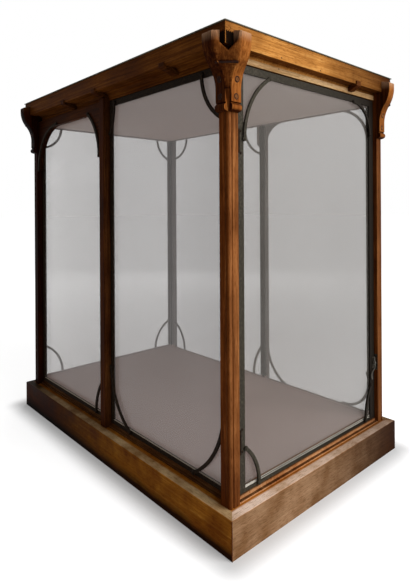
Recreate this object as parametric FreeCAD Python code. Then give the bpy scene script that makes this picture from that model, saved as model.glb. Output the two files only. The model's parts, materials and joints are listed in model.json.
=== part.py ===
import FreeCAD, Part
import math
import os

# Glazed display case: plinth, posts, iron glazing frames, one hinged end door and a boxed cornice.
# Origin at the middle of the underside, X along the case, front towards -Y, door in the +X end.

# Overall sizes in millimetres
overall_height = 1150.0
plinth_length = 1112.0
plinth_depth = 715.0
plinth_height = 87.0
plinth_beam_width = 75.0
plinth_edge_round = 3.0

# Posts
post_size = 30.0
post_inset_end = 27.0
post_inset_side = 22.5
post_corner_round = 6.0
quirk_place = 10.0
quirk_radius = 2.0
mid_post_round = 4.0
front_mid_place = -20.0
back_mid_place = 64.0
back_mid_width = 12.0

# Floor, sills and ceiling
sill_height = 12.0
sill_width = 20.0
sill_round = 6.0
sill_step_width = 8.0
sill_step_height = 4.5
floor_thickness = 17.0
lining_thickness = 3.0
panel_gap = 1.0
ceiling_thickness = 12.0
ceiling_frame_gap = 2.0

# Head rails, coves, fascia and roof
fascia_height = 48.0
fascia_side_thickness = 25.0
fascia_end_thickness = 17.0
rail_drop = 22.0
rail_setback_side = 20.0
rail_setback_end = 9.0
rail_side_thickness = 30.0
cove_drop = 8.0
cove_rise = 12.0
cove_hollow_share = 0.22
roof_thickness = 2.0
roof_overhang = 3.0
bearer_width = 22.0
bearer_height = 20.0
bearer_places = (-180.0, 180.0)
peg_radius = 4.0
peg_length = 40.0
peg_clearance = 0.05
peg_drop = 13.0

# Brackets on the posts
bracket_drop = 140.0
horn_stand_out = 25.0
horn_face_end = 22.0
horn_rise = 12.0
horn_round = 5.0
horn_top = 32.0
bracket_thickness = 10.0
curve_start_rise = 48.0
bead_depth = 13.0
bead_root = 8.5
bead_start_rise = 2.0
bead_height = 15.0
neck_height = 4.0
neck_depth = 7.0
web_heel = 1.0
notch_apex_drop = 16.0
notch_half_width = 27.0
notch_waist_height = 20.0
notch_waist_half = 21.0
scribe_drop = 38.0
scribe_depth = 2.5
screw_rises = (33.0, 70.0)
screw_head_radius = 5.0
screw_head_height = 3.0
screw_head_proud = 0.6
screw_shank_radius = 2.5
screw_cross_gap = 1.5
screw_clearance = 0.1

# Cornice blocks and apron
block_width = 22.0
block_stand_out = 4.0
block_foot = 9.0
block_lap = 9.0
block_drop = 16.0
block_nose_drop = 5.0
block_places_side = (-224.0, 323.0)
block_places_end = (169.0,)
apron_thickness = 15.0
apron_depth = 32.0
apron_foot = 10.0
apron_left_radius = 150.0
apron_right_radius = 167.0
apron_right_rise = 134.0

# Iron glazing frames
bar_width = 12.0
back_bar_width = 7.0
head_bar_width = 18.0
back_head_bar_width = 15.0
bar_depth = 12.0
bar_thickness = 4.0
frame_reveal = 1.0
frame_gap = 1.0
frame_head_gap = 2.0
glass_thickness = 4.0
glass_gap = 1.0
brace_width = 8.0
brace_thickness = 5.0
brace_rail_reach = 72.0
narrow_brace_rail_reach = 50.0
slim_brace_rail_reach = 24.0
brace_stile_reach = 115.0
round_brace_stile_reach = 82.0
slim_brace_stile_reach = 92.0
mid_fillet_radius = 187.0
mid_fillet_rise = 166.0
post_fillet_radius = 225.0
post_fillet_rise = 193.0
back_bow_rail_reach = 46.0
back_bow_stile_reach = 118.0
broad_bow_rail_reach = 89.0
broad_bow_stile_reach = 113.0
far_back_bow_rail_reach = 94.0
far_end_bow_rail_reach = 56.0
far_bow_stile_reach = 88.0
steep_brace_radius = 146.0
steep_brace_rise = 129.0
back_fillet_radius = 112.0
hook_brace_radius = 92.0
hook_turn = math.radians(18)
brace_foot_radius = 5.5
rivet_radius = 4.0
rivet_height = 2.0
spandrel_radius = 76.0
spandrel_thickness = 3.0
spandrel_lap = 5.0
strap_width = 21.0
strap_length = 79.0
strap_round = 18.0

# Door, hinges and catch
door_side_gap = 4.0
door_bottom_gap = 2.0
door_head_gap = 3.0
door_stile_width = 24.0
door_foot_bar_width = 7.0
door_hinge_bow_rail_reach = 44.0
door_hinge_bow_stile_reach = 93.0
door_catch_bow_rail_reach = 32.0
door_catch_bow_stile_reach = 99.0
door_hinge_arc_radius = 172.0
door_hinge_arc_rise = 151.0
door_catch_fillet_radius = 88.0
hinge_foot_inset = 120.0
hinge_head_inset = 177.0
hinge_length = 50.0
hinge_leaf_thickness = 2.0
hinge_leaf_width = 22.0
hinge_pin_radius = 2.2
hinge_pin_clearance = 0.05
hinge_pin_proud = 3.0
knuckle_radius = 4.5
knuckle_gap = 0.5
knuckle_web = 4.0
knuckle_post_gap = 0.25
middle_knuckle_share = 0.4
catch_brace_gap = 10.5
catch_plate_height = 34.0
catch_plate_width = 12.0
catch_plate_thickness = 2.0
catch_pin_radius = 2.5
catch_pin_clearance = 0.06
catch_eye_radius = 6.0
catch_head_radius = 4.5
catch_head_height = 1.8
catch_lever_thickness = 3.0
catch_lever_gap = 0.3
catch_lever_width = 6.0
catch_lever_drop = 46.0
catch_lever_sway = 13.0
catch_tongue_reach = 16.0
catch_bow_share = 0.25
keeper_height = 48.0
keeper_width = 22.0
keeper_thickness = 2.0
keeper_edge = 1.0
keeper_slot_room = 1.6
keeper_slot_depth = 8.0

# One overrun serves all cuts, and one share places the middle of every quarter round
overrun = 1.0
quarter_round_share = 1 - math.sqrt(0.5)

# Worked-out places
post_face_end = plinth_length / 2 - post_inset_end
post_face_side = plinth_depth / 2 - post_inset_side
post_inner_end = post_face_end - post_size
post_inner_side = post_face_side - post_size
roof_bottom = overall_height - roof_thickness
fascia_bottom = roof_bottom - fascia_height
rail_bottom = fascia_bottom - rail_drop
sill_top = plinth_height + sill_height
floor_top = plinth_height + floor_thickness
ceiling_bottom = rail_bottom - ceiling_thickness
frame_top = rail_bottom - frame_head_gap
door_bottom = sill_top + door_bottom_gap
door_top = rail_bottom - door_head_gap
screw_length_in_post = post_size / 2 - screw_shank_radius - screw_cross_gap
hinge_heights = (door_bottom + hinge_foot_inset, door_top - hinge_head_inset)
door_brace_top = door_bottom + door_foot_bar_width + door_catch_bow_stile_reach + brace_foot_radius
catch_height = door_brace_top + catch_brace_gap + catch_lever_drop + catch_lever_width / 2

V = FreeCAD.Vector
UP = V(0, 0, 1)
ORIGIN = V(0, 0, 0)


# Each side is drawn as the front is, with u along it and d outward from the middle, then turned into place.
class Side:
    def __init__(self, turn, face, half_span, setback, fascia):
        self.turn = turn
        self.face = face
        self.half_span = half_span
        self.rail_face = face - setback
        self.frame_face = self.rail_face - frame_reveal
        self.fascia = fascia

    def turned(self, shape):
        return shape.rotated(ORIGIN, UP, self.turn)

    def point(self, u, d, z):
        return FreeCAD.Rotation(UP, self.turn).multVec(V(u, -d, z))

    def block(self, u0, u1, d0, d1, z0, z1):
        return self.turned(Part.makeBox(u1 - u0, d1 - d0, z1 - z0, V(u0, -d1, z0)))

    def moulding(self, start, steps, u0, u1):
        face = outline(start, steps, lambda d, z: V(u0, -d, z))
        return self.turned(face.extrude(V(u1 - u0, 0, 0)))

    def plate(self, start, steps, d0, d1):
        face = outline(start, steps, lambda u, z: V(u, -d0, z))
        return self.turned(face.extrude(V(0, d0 - d1, 0)))

    def rod(self, radius, u, z, d0, d1):
        return self.turned(Part.makeCylinder(radius, d1 - d0, V(u, -d0, z), V(0, -1, 0)))

    def dome(self, radius, height, u, z, d):
        ball = (radius ** 2 + height ** 2) / (2 * height)
        start = math.degrees(math.asin((ball - height) / ball))
        cap = Part.makeSphere(ball, V(u, -(d + height - ball), z), V(0, -1, 0), start, 90, 360)
        return self.turned(cap)


# A step is (point,) for a straight edge or (way point, point) for an arc.
def outline(start, steps, at):
    here = start
    edges = []
    for step in list(steps) + [(start,)]:
        if math.dist(here, step[-1]) == 0:
            continue
        points = [at(*here)] + [at(*point) for point in step]
        curve = Part.Arc(*points) if len(points) == 3 else Part.LineSegment(*points)
        edges.append(curve.toShape())
        here = step[-1]
    return Part.Face(Part.Wire(edges))


def save(name, *shapes):
    whole = shapes[0] if len(shapes) == 1 else Part.makeCompound(list(shapes))
    whole.exportStep("parts/" + name + ".step")


SIDES = {
    "front": Side(0, post_face_side, post_inner_end, rail_setback_side, fascia_side_thickness),
    "right": Side(90, post_face_end, post_inner_side, rail_setback_end, fascia_end_thickness),
    "back": Side(180, post_face_side, post_inner_end, rail_setback_side, fascia_side_thickness),
    "left": Side(270, post_face_end, post_inner_side, rail_setback_end, fascia_end_thickness),
}
LONG_SIDES = ("front", "back")
ENDS = ("left", "right")
# Along the back side u runs towards -X.
MID_PLACES = {"front": front_mid_place, "back": -back_mid_place}
MID_WIDTHS = {"front": post_size, "back": back_mid_width}


# Plinth: four beams mitred together, with the outer top edge rounded over
def plinth_beam(side, half_length, half_depth):
    inner = half_depth - plinth_beam_width
    start = V(-half_length, -half_depth, 0)
    corners = [start, V(half_length, -half_depth, 0)]
    corners.append(V(half_length - plinth_beam_width, -inner, 0))
    corners.append(V(plinth_beam_width - half_length, -inner, 0))
    beam = Part.Face(Part.makePolygon(corners + [start])).extrude(V(0, 0, plinth_height))
    rim = [edge for edge in beam.Edges if is_outer_rim(edge, half_depth)]
    return side.turned(beam.makeFillet(plinth_edge_round, rim))


def is_outer_rim(edge, half_depth):
    box = edge.BoundBox
    return abs(box.ZMin - plinth_height) < plinth_edge_round and box.YMax < plinth_edge_round - half_depth


def make_plinth():
    for name, side in SIDES.items():
        halves = (plinth_length / 2, plinth_depth / 2)
        half_length, half_depth = halves if name in LONG_SIDES else halves[::-1]
        save("plinth_beam_" + name, plinth_beam(side, half_length, half_depth))


# Sills: stepped strips on the plinth with a rounded upper edge, notched round the middle posts
def sill(side, width, mid_place=None, mid_width=0):
    outer = side.rail_face
    step, step_top = outer + sill_step_width, plinth_height + sill_step_height
    slant = sill_round * quarter_round_share
    start = (outer - width, plinth_height)
    steps = [((step, plinth_height),), ((step, step_top),), ((outer, step_top),)]
    steps.append(((outer, sill_top - sill_round),))
    steps.append(((outer - slant, sill_top - slant), (outer - sill_round, sill_top)))
    steps.append(((outer - width, sill_top),))
    strip = side.moulding(start, steps, -side.half_span, side.half_span)
    if mid_place is None:
        return strip
    low, high = mid_place - mid_width / 2, mid_place + mid_width / 2
    inner, bottom, top = side.face - post_size, plinth_height - overrun, sill_top + overrun
    return strip.cut(side.block(low, high, inner, step + overrun, bottom, top))


def make_floor():
    mids = [(SIDES[name], sill_width, MID_PLACES[name], MID_WIDTHS[name]) for name in LONG_SIDES]
    save("sill_sides", *[sill(*mid) for mid in mids])
    end_width = post_size - rail_setback_end
    save("sill_ends", *[sill(SIDES[name], end_width) for name in ENDS])
    half_length = post_inner_end - panel_gap
    half_depth = SIDES["front"].rail_face - sill_width - panel_gap
    save("floor_board", centred_panel(half_length, half_depth, plinth_height, floor_top))
    save("floor_lining", centred_panel(half_length, half_depth, floor_top, floor_top + lining_thickness))


def centred_panel(half_length, half_depth, bottom, top):
    return Part.makeBox(2 * half_length, 2 * half_depth, top - bottom, V(-half_length, -half_depth, bottom))


# Corner posts: a rounded bead on the outer corner with a half-round quirk on each outer face
def corner_post(sign_x, sign_y):
    height = roof_bottom - plinth_height
    inner = V(sign_x * post_inner_end, sign_y * post_inner_side, plinth_height)
    outer = V(sign_x * post_face_end, sign_y * post_face_side, plinth_height)
    low = V(min(inner.x, outer.x), min(inner.y, outer.y), plinth_height)
    post = Part.makeBox(post_size, post_size, height, low)
    corner = [edge for edge in post.Edges if is_upright_at(edge, outer)]
    post = post.makeFillet(post_corner_round, corner)
    quirk_x = V(outer.x - sign_x * quirk_place, outer.y, plinth_height)
    quirk_y = V(outer.x, outer.y - sign_y * quirk_place, plinth_height)
    for foot in (quirk_x, quirk_y):
        post = post.cut(Part.makeCylinder(quirk_radius, height, foot, UP))
    return post


def is_upright_at(edge, foot):
    box = edge.BoundBox
    return box.ZLength > post_size and math.dist((box.XMax, box.YMax), (foot.x, foot.y)) < post_corner_round


# Middle posts: the front of each runs on past the head rail to the cornice block over it
def mid_post(side, place, width):
    half = width / 2
    inner, outer = side.face - post_size, side.face
    slant = mid_post_round * quarter_round_share
    at = lambda u, d: V(place + u, -d, plinth_height)
    steps = [((half, inner),), ((half, outer - mid_post_round),)]
    steps.append(((half - slant, outer - slant), (half - mid_post_round, outer)))
    steps.append(((mid_post_round - half, outer),))
    steps.append(((slant - half, outer - slant), (-half, outer - mid_post_round)))
    top = fascia_bottom - block_drop
    post = side.turned(outline((-half, inner), steps, at).extrude(V(0, 0, top - plinth_height)))
    low, high = place - half - overrun, place + half + overrun
    return post.cut(side.block(low, high, inner - overrun, side.rail_face, rail_bottom, top + overrun))


# Brackets: a carved wing on each outer face of a post, as wide as the post, and a web between the two
class Wing:
    def __init__(self, side, place):
        self.side = side
        self.place = place
        self.tip = fascia_bottom - bracket_drop
        self.horn = side.fascia + horn_stand_out
        self.horn_start = bracket_drop + horn_rise
        self.run = self.horn - bracket_thickness
        self.height = self.horn_start - curve_start_rise
        self.radius = (self.run ** 2 + self.height ** 2) / (4 * self.run)

    def face_depth(self, rise):
        climb = max(rise - curve_start_rise, 0)
        return bracket_thickness + self.radius - math.sqrt(self.radius ** 2 - climb ** 2)

    def flare(self):
        turn = math.asin(self.height / 2 / self.radius) / 2
        near, far = self.radius * (1 - math.cos(turn)), self.radius * math.sin(turn)
        corner = horn_round * quarter_round_share
        horn, horn_end = self.horn, bracket_drop + horn_face_end
        horn_top_end = horn_end + horn_round
        middle = (bracket_thickness + self.run / 2, curve_start_rise + self.height / 2)
        steps = [((bracket_thickness, curve_start_rise),)]
        steps.append(((bracket_thickness + near, curve_start_rise + far), middle))
        steps.append(((horn - near, self.horn_start - far), (horn, self.horn_start)))
        steps.append(((horn, horn_end),))
        steps.append(((horn - corner, horn_top_end - corner), (horn - horn_round, horn_top_end)))
        steps.append(((self.side.fascia, bracket_drop + horn_top),))
        return steps

    def solid(self):
        bead_end = bead_start_rise + bead_height
        steps = [((bead_root, bead_start_rise),)]
        steps.append(((bead_depth, bead_start_rise + bead_height / 2), (bead_root, bead_end)))
        steps.append(((neck_depth, bead_end + neck_height / 2),))
        steps.append(((bracket_thickness, bead_end + neck_height),))
        steps += self.flare()
        steps.append(((self.side.fascia, bracket_drop),))
        steps.append(((0, bracket_drop),))
        steps = [tuple((self.side.face + d, self.tip + z) for d, z in step) for step in steps]
        low, high = self.place - post_size / 2, self.place + post_size / 2
        body = self.side.moulding((self.side.face, self.tip), steps, low, high)
        return body.cut([self.screw(rise, screw_clearance) for rise in screw_rises])

    def flank(self):
        start = (web_heel, bead_start_rise)
        steps = self.flare() + [((web_heel, bracket_drop + horn_top),)]
        u = math.copysign(self.side.half_span + post_size, self.place)
        at = lambda d, z: self.side.point(u, self.side.face + d, self.tip + z)
        return outline(start, steps, at).OuterWire

    def screw(self, rise, clearance=0.0):
        level = self.tip + rise
        face = self.side.face + self.face_depth(rise)
        seat = face - screw_head_height
        start = self.side.face - screw_length_in_post
        shank = self.side.rod(screw_shank_radius + clearance, self.place, level, start, seat)
        reach = face + screw_head_proud + (horn_stand_out if clearance else 0)
        head = self.side.rod(screw_head_radius + clearance, self.place, level, seat, reach)
        return shank.fuse(head).removeSplitter()


# Three corners carry a wing on two sides, at the low or the high end of each; the far back corner is bare.
CORNERS = {
    "front_right": (1, -1, {"front": 1, "right": -1}),
    "back_right": (1, 1, {"back": -1, "right": 1}),
    "back_left": (-1, 1, {}),
    "front_left": (-1, -1, {"front": -1, "left": 1}),
}


def corner_wings(ends):
    wings = []
    for name, sign in ends.items():
        side = SIDES[name]
        wings.append(Wing(side, sign * (side.half_span + post_size / 2)))
    return wings


def drilled(post, wings):
    return post.cut([wing.screw(rise, screw_clearance) for wing in wings for rise in screw_rises])


# The web between two wings is flared with them, scribed across, and notched where the fascia's corner shows
def corner_web(sign_x, sign_y, wings):
    out = V(sign_x, sign_y, 0).normalize()
    web = Part.makeLoft([wing.flank() for wing in wings], True, True)
    level = fascia_bottom - scribe_drop
    half_plate = plinth_length
    band = centred_panel(half_plate, half_plate, level - scribe_depth, level + scribe_depth)
    web = web.cut(web.common(band).cut(web.translated(out * -scribe_depth)))
    end = SIDES["right" if sign_x > 0 else "left"]
    half = post_face_side + fascia_side_thickness
    fascia = end.block(-half, half, end.face - overrun, end.face + end.fascia, fascia_bottom, roof_bottom)
    apex = V(sign_x * post_face_end, sign_y * post_face_side, fascia_bottom - notch_apex_drop)
    rises = (notch_waist_height, horn_top + notch_apex_drop + overrun)
    half_widths = (notch_waist_half, notch_half_width)
    right = [apex + UP * rise + UP.cross(out) * half for rise, half in zip(rises, half_widths)]
    left = [apex + UP * rise - UP.cross(out) * half for rise, half in zip(rises, half_widths)]
    sides = Part.makePolygon([apex] + right + left[::-1] + [apex])
    return web.cut([fascia, Part.Face(sides).extrude(out * post_size * 2)])


def make_posts_and_brackets():
    all_wings = []
    for corner, (sign_x, sign_y, ends) in CORNERS.items():
        wings = corner_wings(ends)
        post = corner_post(sign_x, sign_y)
        if wings:
            post = drilled(post, wings)
            web = corner_web(sign_x, sign_y, wings)
            save("bracket_" + corner, *[wing.solid() for wing in wings], web)
        if sign_x > 0:
            post = post.cut(hinge_mortises() if sign_y < 0 else keeper_mortise())
        save("post_" + corner, post)
        all_wings += wings
    save("bracket_screws", *[wing.screw(rise) for wing in all_wings for rise in screw_rises])
    for name, place in MID_PLACES.items():
        save("mid_post_" + name, mid_post(SIDES[name], place, MID_WIDTHS[name]))


# Head rails between the posts, with a hollow cove strip under the cornice
def head_rail(side, thickness):
    return side.block(-side.half_span, side.half_span, side.rail_face - thickness, side.rail_face,
                      rail_bottom, roof_bottom)


def cove(side):
    inner, outer = side.rail_face, side.face
    low, high = fascia_bottom - cove_drop, fascia_bottom + cove_rise
    middle_d = (inner + outer) / 2 - cove_hollow_share * cove_drop
    middle_z = (low + fascia_bottom) / 2 + cove_hollow_share * (outer - inner)
    steps = [((inner, high),), ((outer, high),), ((outer, fascia_bottom),)]
    steps.append(((middle_d, middle_z), (inner, low)))
    return side.moulding((inner, low), steps, -side.half_span, side.half_span)


# Fascia boards: the ends run the full depth, the long boards fit between them and are pegged
def peg(side, place, clearance=0.0):
    level = roof_bottom - peg_drop
    outer = side.face + side.fascia
    reach = outer + (overrun if clearance else 0)
    return side.rod(peg_radius + clearance, place, level, outer - peg_length, reach)


def make_cornice():
    peg_place = post_face_side + fascia_side_thickness / 2
    pegs = []
    holes = []
    for name in ENDS:
        for place in (-peg_place, peg_place):
            pegs.append(peg(SIDES[name], place))
            holes.append(peg(SIDES[name], place, peg_clearance))
    end_thickness = post_size - rail_setback_end
    for name, side in SIDES.items():
        is_long = name in LONG_SIDES
        save("head_rail_" + name, head_rail(side, rail_side_thickness if is_long else end_thickness))
        half = post_face_end if is_long else post_face_side + fascia_side_thickness
        board = side.block(-half, half, side.face, side.face + side.fascia, fascia_bottom, roof_bottom)
        save("fascia_" + name, board.cut(holes))
    save("fascia_pegs", *pegs)
    save("cornice_coves", *[cove(side) for side in SIDES.values()])
    blocks = []
    for name, side in SIDES.items():
        places = (*block_places_side, MID_PLACES[name]) if name in LONG_SIDES else block_places_end
        blocks += [cornice_block(side, place) for place in places]
    save("cornice_blocks", *blocks)


def cornice_block(side, place):
    inner, back, front = side.rail_face, side.face, side.face + side.fascia
    low, nose = fascia_bottom - block_drop, front + block_stand_out
    steps = [((inner, fascia_bottom - cove_drop),), ((back, fascia_bottom),), ((front, fascia_bottom),)]
    steps += [((front, fascia_bottom + block_lap),), ((nose, fascia_bottom + block_lap),)]
    steps += [((nose, fascia_bottom - block_nose_drop),), ((inner + block_foot, low),)]
    return side.moulding((inner, low), steps, place - block_width / 2, place + block_width / 2)


def make_roof():
    front = SIDES["front"]
    half_length = post_inner_end - panel_gap
    half_depth = front.frame_face - bar_depth - ceiling_frame_gap
    save("ceiling_board", centred_panel(half_length, half_depth, ceiling_bottom, rail_bottom))
    lining_bottom = ceiling_bottom - lining_thickness
    save("ceiling_lining", centred_panel(half_length, half_depth, lining_bottom, ceiling_bottom))
    half_bearer = front.rail_face - rail_side_thickness
    bearers = []
    for place in bearer_places:
        corner = V(place - bearer_width / 2, -half_bearer, roof_bottom - bearer_height)
        bearers.append(Part.makeBox(bearer_width, 2 * half_bearer, bearer_height, corner))
    save("roof_bearers", *bearers)
    half_roof = post_face_end + fascia_end_thickness + roof_overhang
    half_roof_depth = post_face_side + fascia_side_thickness + roof_overhang
    save("roof_cover", centred_panel(half_roof, half_roof_depth, roof_bottom, overall_height))


# Iron frames: four angle bars, with the flange outside and the web behind it
# Bar widths are given as stile, foot and head.
FIXED_BARS = (bar_width, bar_width, head_bar_width)
BACK_BARS = (back_bar_width, back_bar_width, back_head_bar_width)
END_BARS = (back_bar_width, bar_width, back_head_bar_width)
DOOR_BARS = (door_stile_width, door_foot_bar_width, head_bar_width)


def angle_frame(side, low, high, bottom, top, widths):
    stile, foot, head = widths
    face, back = side.frame_face, side.frame_face - bar_depth
    lip = face - bar_thickness
    bars = []
    for edge, inward in ((low, 1), (high, -1)):
        flange = ordered(edge, edge + inward * stile)
        web = ordered(edge, edge + inward * bar_thickness)
        front_bar = side.block(*flange, lip, face, bottom, top)
        bars.append(front_bar.fuse(side.block(*web, back, lip, bottom, top)))
    for edge, inward, width in ((bottom, 1, foot), (top, -1, head)):
        flange = ordered(edge, edge + inward * width)
        web = ordered(edge, edge + inward * bar_thickness)
        front_bar = side.block(low + stile, high - stile, lip, face, *flange)
        back_bar = side.block(low + bar_thickness, high - bar_thickness, back, lip, *web)
        bars.append(front_bar.fuse(back_bar))
    return [bar.removeSplitter() for bar in bars]


def ordered(first, second):
    return (min(first, second), max(first, second))


def pane(side, low, high, bottom, top):
    lip = side.frame_face - bar_thickness
    margin = bar_thickness + glass_gap
    seat = bottom + bar_thickness
    return side.block(low + margin, high - margin, lip - glass_thickness, lip, seat, top - margin)


# Braces: bent iron bars riveted over the frame corners, either bowed round the corner or filleting it
class Corner:
    def __init__(self, side, u, z, sign_u, sign_z):
        self.side = side
        self.u = u
        self.z = z
        self.sign_u = sign_u
        self.sign_z = sign_z

    def inward(self, along, up):
        return (self.u + self.sign_u * along, self.z + self.sign_z * up)


def bowed_brace(corner, rail_reach, stile_reach):
    radius = (rail_reach ** 2 + stile_reach ** 2) / (2 * rail_reach)
    start = rail_reach - radius
    at = lambda ring, angle: corner.inward(start + ring * math.cos(angle), ring * math.sin(angle))
    return bent_bar(corner.side, at, radius, math.asin(stile_reach / radius), corner.side.frame_face)


def fillet_brace(corner, radius, rise, hook=0):
    def at(ring, angle):
        turn = angle - hook
        return corner.inward(radius - ring * math.cos(turn), rise - ring * math.sin(turn))

    return bent_bar(corner.side, at, radius, math.asin(rise / radius) + hook, corner.side.frame_face)


def bent_bar(side, at, radius, sweep, seat):
    inner, outer = radius - brace_width / 2, radius + brace_width / 2
    steps = [(at(outer, 0),), (at(outer, sweep / 2), at(outer, sweep))]
    steps += [(at(inner, sweep),), (at(inner, sweep / 2), at(inner, 0))]
    bar = side.plate(at(inner, 0), steps, seat, seat + brace_thickness)
    ends = [at(radius, 0), at(radius, sweep)]
    for end in ends:
        bar = bar.fuse(side.rod(brace_foot_radius, *end, seat, seat + brace_thickness))
    rivets = [side.dome(rivet_radius, rivet_height, *end, seat + brace_thickness) for end in ends]
    return bar.removeSplitter(), rivets


TALL_BOW = (bowed_brace, brace_rail_reach, brace_stile_reach)
NARROW_BOW = (bowed_brace, narrow_brace_rail_reach, brace_stile_reach)
ROUND_BOW = (bowed_brace, brace_rail_reach, round_brace_stile_reach)
SLIM_BOW = (bowed_brace, slim_brace_rail_reach, slim_brace_stile_reach)
BACK_BOW = (bowed_brace, back_bow_rail_reach, back_bow_stile_reach)
BROAD_BOW = (bowed_brace, broad_bow_rail_reach, broad_bow_stile_reach)
FAR_BACK_BOW = (bowed_brace, far_back_bow_rail_reach, far_bow_stile_reach)
FAR_END_BOW = (bowed_brace, far_end_bow_rail_reach, far_bow_stile_reach)
MID_FILLET = (fillet_brace, mid_fillet_radius, mid_fillet_rise)
POST_FILLET = (fillet_brace, post_fillet_radius, post_fillet_rise)
BACK_FILLET = (fillet_brace, back_fillet_radius, back_fillet_radius)
STEEP = (fillet_brace, steep_brace_radius, steep_brace_rise)
HOOK = (fillet_brace, hook_brace_radius, hook_brace_radius, hook_turn)
DOOR_BRACES = (
    (bowed_brace, door_hinge_bow_rail_reach, door_hinge_bow_stile_reach),
    (bowed_brace, door_catch_bow_rail_reach, door_catch_bow_stile_reach),
    (fillet_brace, door_hinge_arc_radius, door_hinge_arc_rise),
    (fillet_brace, door_catch_fillet_radius, door_catch_fillet_radius),
)


# The braces of a fixed frame stand on the middles of its bars.
def brace_corners(low, high, bottom, top, widths):
    stile, foot = [max(width / 2, brace_foot_radius) for width in widths[:2]]
    return (low + stile, high - stile), (bottom + foot, top - widths[2] / 2)


# A bay lists its braces at the low and high ends of its bottom, then of its top.
def bay_braces(side, ends, levels, kinds):
    signs = (1, -1)
    places = [(u, z, sign_u, sign_z) for z, sign_z in zip(levels, signs) for u, sign_u in zip(ends, signs)]
    bars, rivets = [], []
    for kind, place in zip(kinds, places):
        if kind:
            bar, bar_rivets = kind[0](Corner(side, *place), *kind[1:])
            bars.append(bar)
            rivets += bar_rivets
    return bars, rivets


def fixed_bays():
    front, back, left = SIDES["front"], SIDES["back"], SIDES["left"]
    edge, end_edge = post_inner_end - frame_gap, post_inner_side - frame_gap
    mids = []
    for name in LONG_SIDES:
        half = MID_WIDTHS[name] / 2 + frame_gap
        mids += [MID_PLACES[name] - half, MID_PLACES[name] + half]
    return {
        "front_right": (front, mids[1], edge, FIXED_BARS, (MID_FILLET, POST_FILLET, SLIM_BOW, TALL_BOW)),
        "front_left": (front, -edge, mids[0], FIXED_BARS, (None, NARROW_BOW)),
        "back_right": (back, -edge, mids[2], BACK_BARS, (HOOK, STEEP, BACK_FILLET, None)),
        "back_left": (back, mids[3], edge, BACK_BARS, (BACK_BOW, TALL_BOW, BROAD_BOW, FAR_BACK_BOW)),
        "left": (left, -end_edge, end_edge, END_BARS, (TALL_BOW, TALL_BOW, FAR_END_BOW, ROUND_BOW)),
    }


# Spandrels: two sheet-iron plates beside the back's middle post, an arched one and a round-ended strap
def back_spandrels(bays):
    side, level, lap = SIDES["back"], frame_top - back_head_bar_width, spandrel_lap
    arch = Corner(side, bays["back_right"][2] - back_bar_width, level, -1, -1)
    hollow, radius = spandrel_radius * quarter_round_share, spandrel_radius
    arch_line = [((radius, -lap),), ((radius, 0),), ((hollow, hollow), (0, radius)), ((-lap, radius),)]
    strap = Corner(side, bays["back_left"][1] + back_bar_width, level, 1, -1)
    slant, width, length = strap_round * quarter_round_share, strap_width, strap_length
    foot = ((width - slant, length - slant), (width - strap_round, length))
    strap_line = [((width, -lap),), ((width, length - strap_round),), foot, ((-lap, length),)]
    plates = []
    for corner, line in ((arch, arch_line), (strap, strap_line)):
        steps = [tuple(corner.inward(*point) for point in step) for step in line]
        face = side.frame_face
        plates.append(side.plate(corner.inward(-lap, -lap), steps, face, face + spandrel_thickness))
    return plates


def make_fixed_glazing():
    bays = fixed_bays()
    braces, rivets = [], []
    for name, (side, low, high, widths, kinds) in bays.items():
        extent = (low, high, sill_top, frame_top)
        save("frame_" + name, *angle_frame(side, *extent, widths))
        save("glass_" + name, pane(side, *extent))
        made = bay_braces(side, *brace_corners(*extent, widths), kinds)
        braces += made[0]
        rivets += made[1]
    save("corner_braces", *braces, *back_spandrels(bays))
    save("brace_rivets", *rivets)


# Apron: an arched board under the head rail of the far front bay, with a bent iron bar along each leg
class Leg:
    def __init__(self, tip, sign, radius, bottom, rise):
        self.sign = sign
        self.radius = radius
        self.centre = tip - sign * radius
        self.bottom = bottom
        self.sweep = math.asin(rise / radius)

    def at(self, ring, angle):
        return (self.centre + self.sign * ring * math.cos(angle), self.bottom + ring * math.sin(angle))

    def edge(self, share):
        return self.at(self.radius, share * self.sweep)

    def bar(self, side, seat):
        return bent_bar(side, self.at, self.radius + brace_width / 2, self.sweep, seat)


def make_apron():
    side = SIDES["front"]
    left, right = -side.half_span, front_mid_place - post_size / 2
    level = rail_bottom - apron_depth
    near = Leg(right - apron_foot, 1, apron_right_radius, level - apron_right_rise, apron_right_rise)
    far = Leg(left + apron_foot, -1, apron_left_radius, level - apron_left_radius, apron_left_radius)
    steps = [((right, rail_bottom),), ((right, near.bottom),), (near.edge(0),)]
    steps += [(near.edge(0.5), near.edge(1)), (far.edge(1),), (far.edge(0.5), far.edge(0))]
    steps.append(((left, far.bottom),))
    face = side.frame_face + apron_thickness
    save("apron", side.plate((left, rail_bottom), steps, side.frame_face, face))
    (near_bar, near_rivets), (far_bar, far_rivets) = near.bar(side, face), far.bar(side, face)
    save("apron_braces", near_bar, far_bar)
    save("apron_rivets", *near_rivets, *far_rivets)


# Door: an iron frame in the right end, hung on the front post; its braces spring from the inner edges
DOOR = SIDES["right"]
door_edge = post_inner_side - door_side_gap
hinge_u = -(post_inner_side - knuckle_radius - knuckle_post_gap)
hinge_d = DOOR.frame_face + knuckle_gap + knuckle_radius


def make_door():
    extent = (-door_edge, door_edge, door_bottom, door_top)
    save("door_frame", *angle_frame(DOOR, *extent, DOOR_BARS))
    save("door_glass", pane(DOOR, *extent))
    inner = door_edge - door_stile_width
    levels = (door_bottom + door_foot_bar_width, door_top - head_bar_width)
    braces, rivets = bay_braces(DOOR, (-inner, inner), levels, DOOR_BRACES)
    save("door_braces", *braces)
    save("door_rivets", *rivets)


# Hinges: two butt hinges with the post leaf let into the post and the door leaf on the stile's edge
def upright(radius, bottom, top):
    return DOOR.turned(Part.makeCylinder(radius, top - bottom, V(hinge_u, -hinge_d, bottom), UP))


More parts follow.
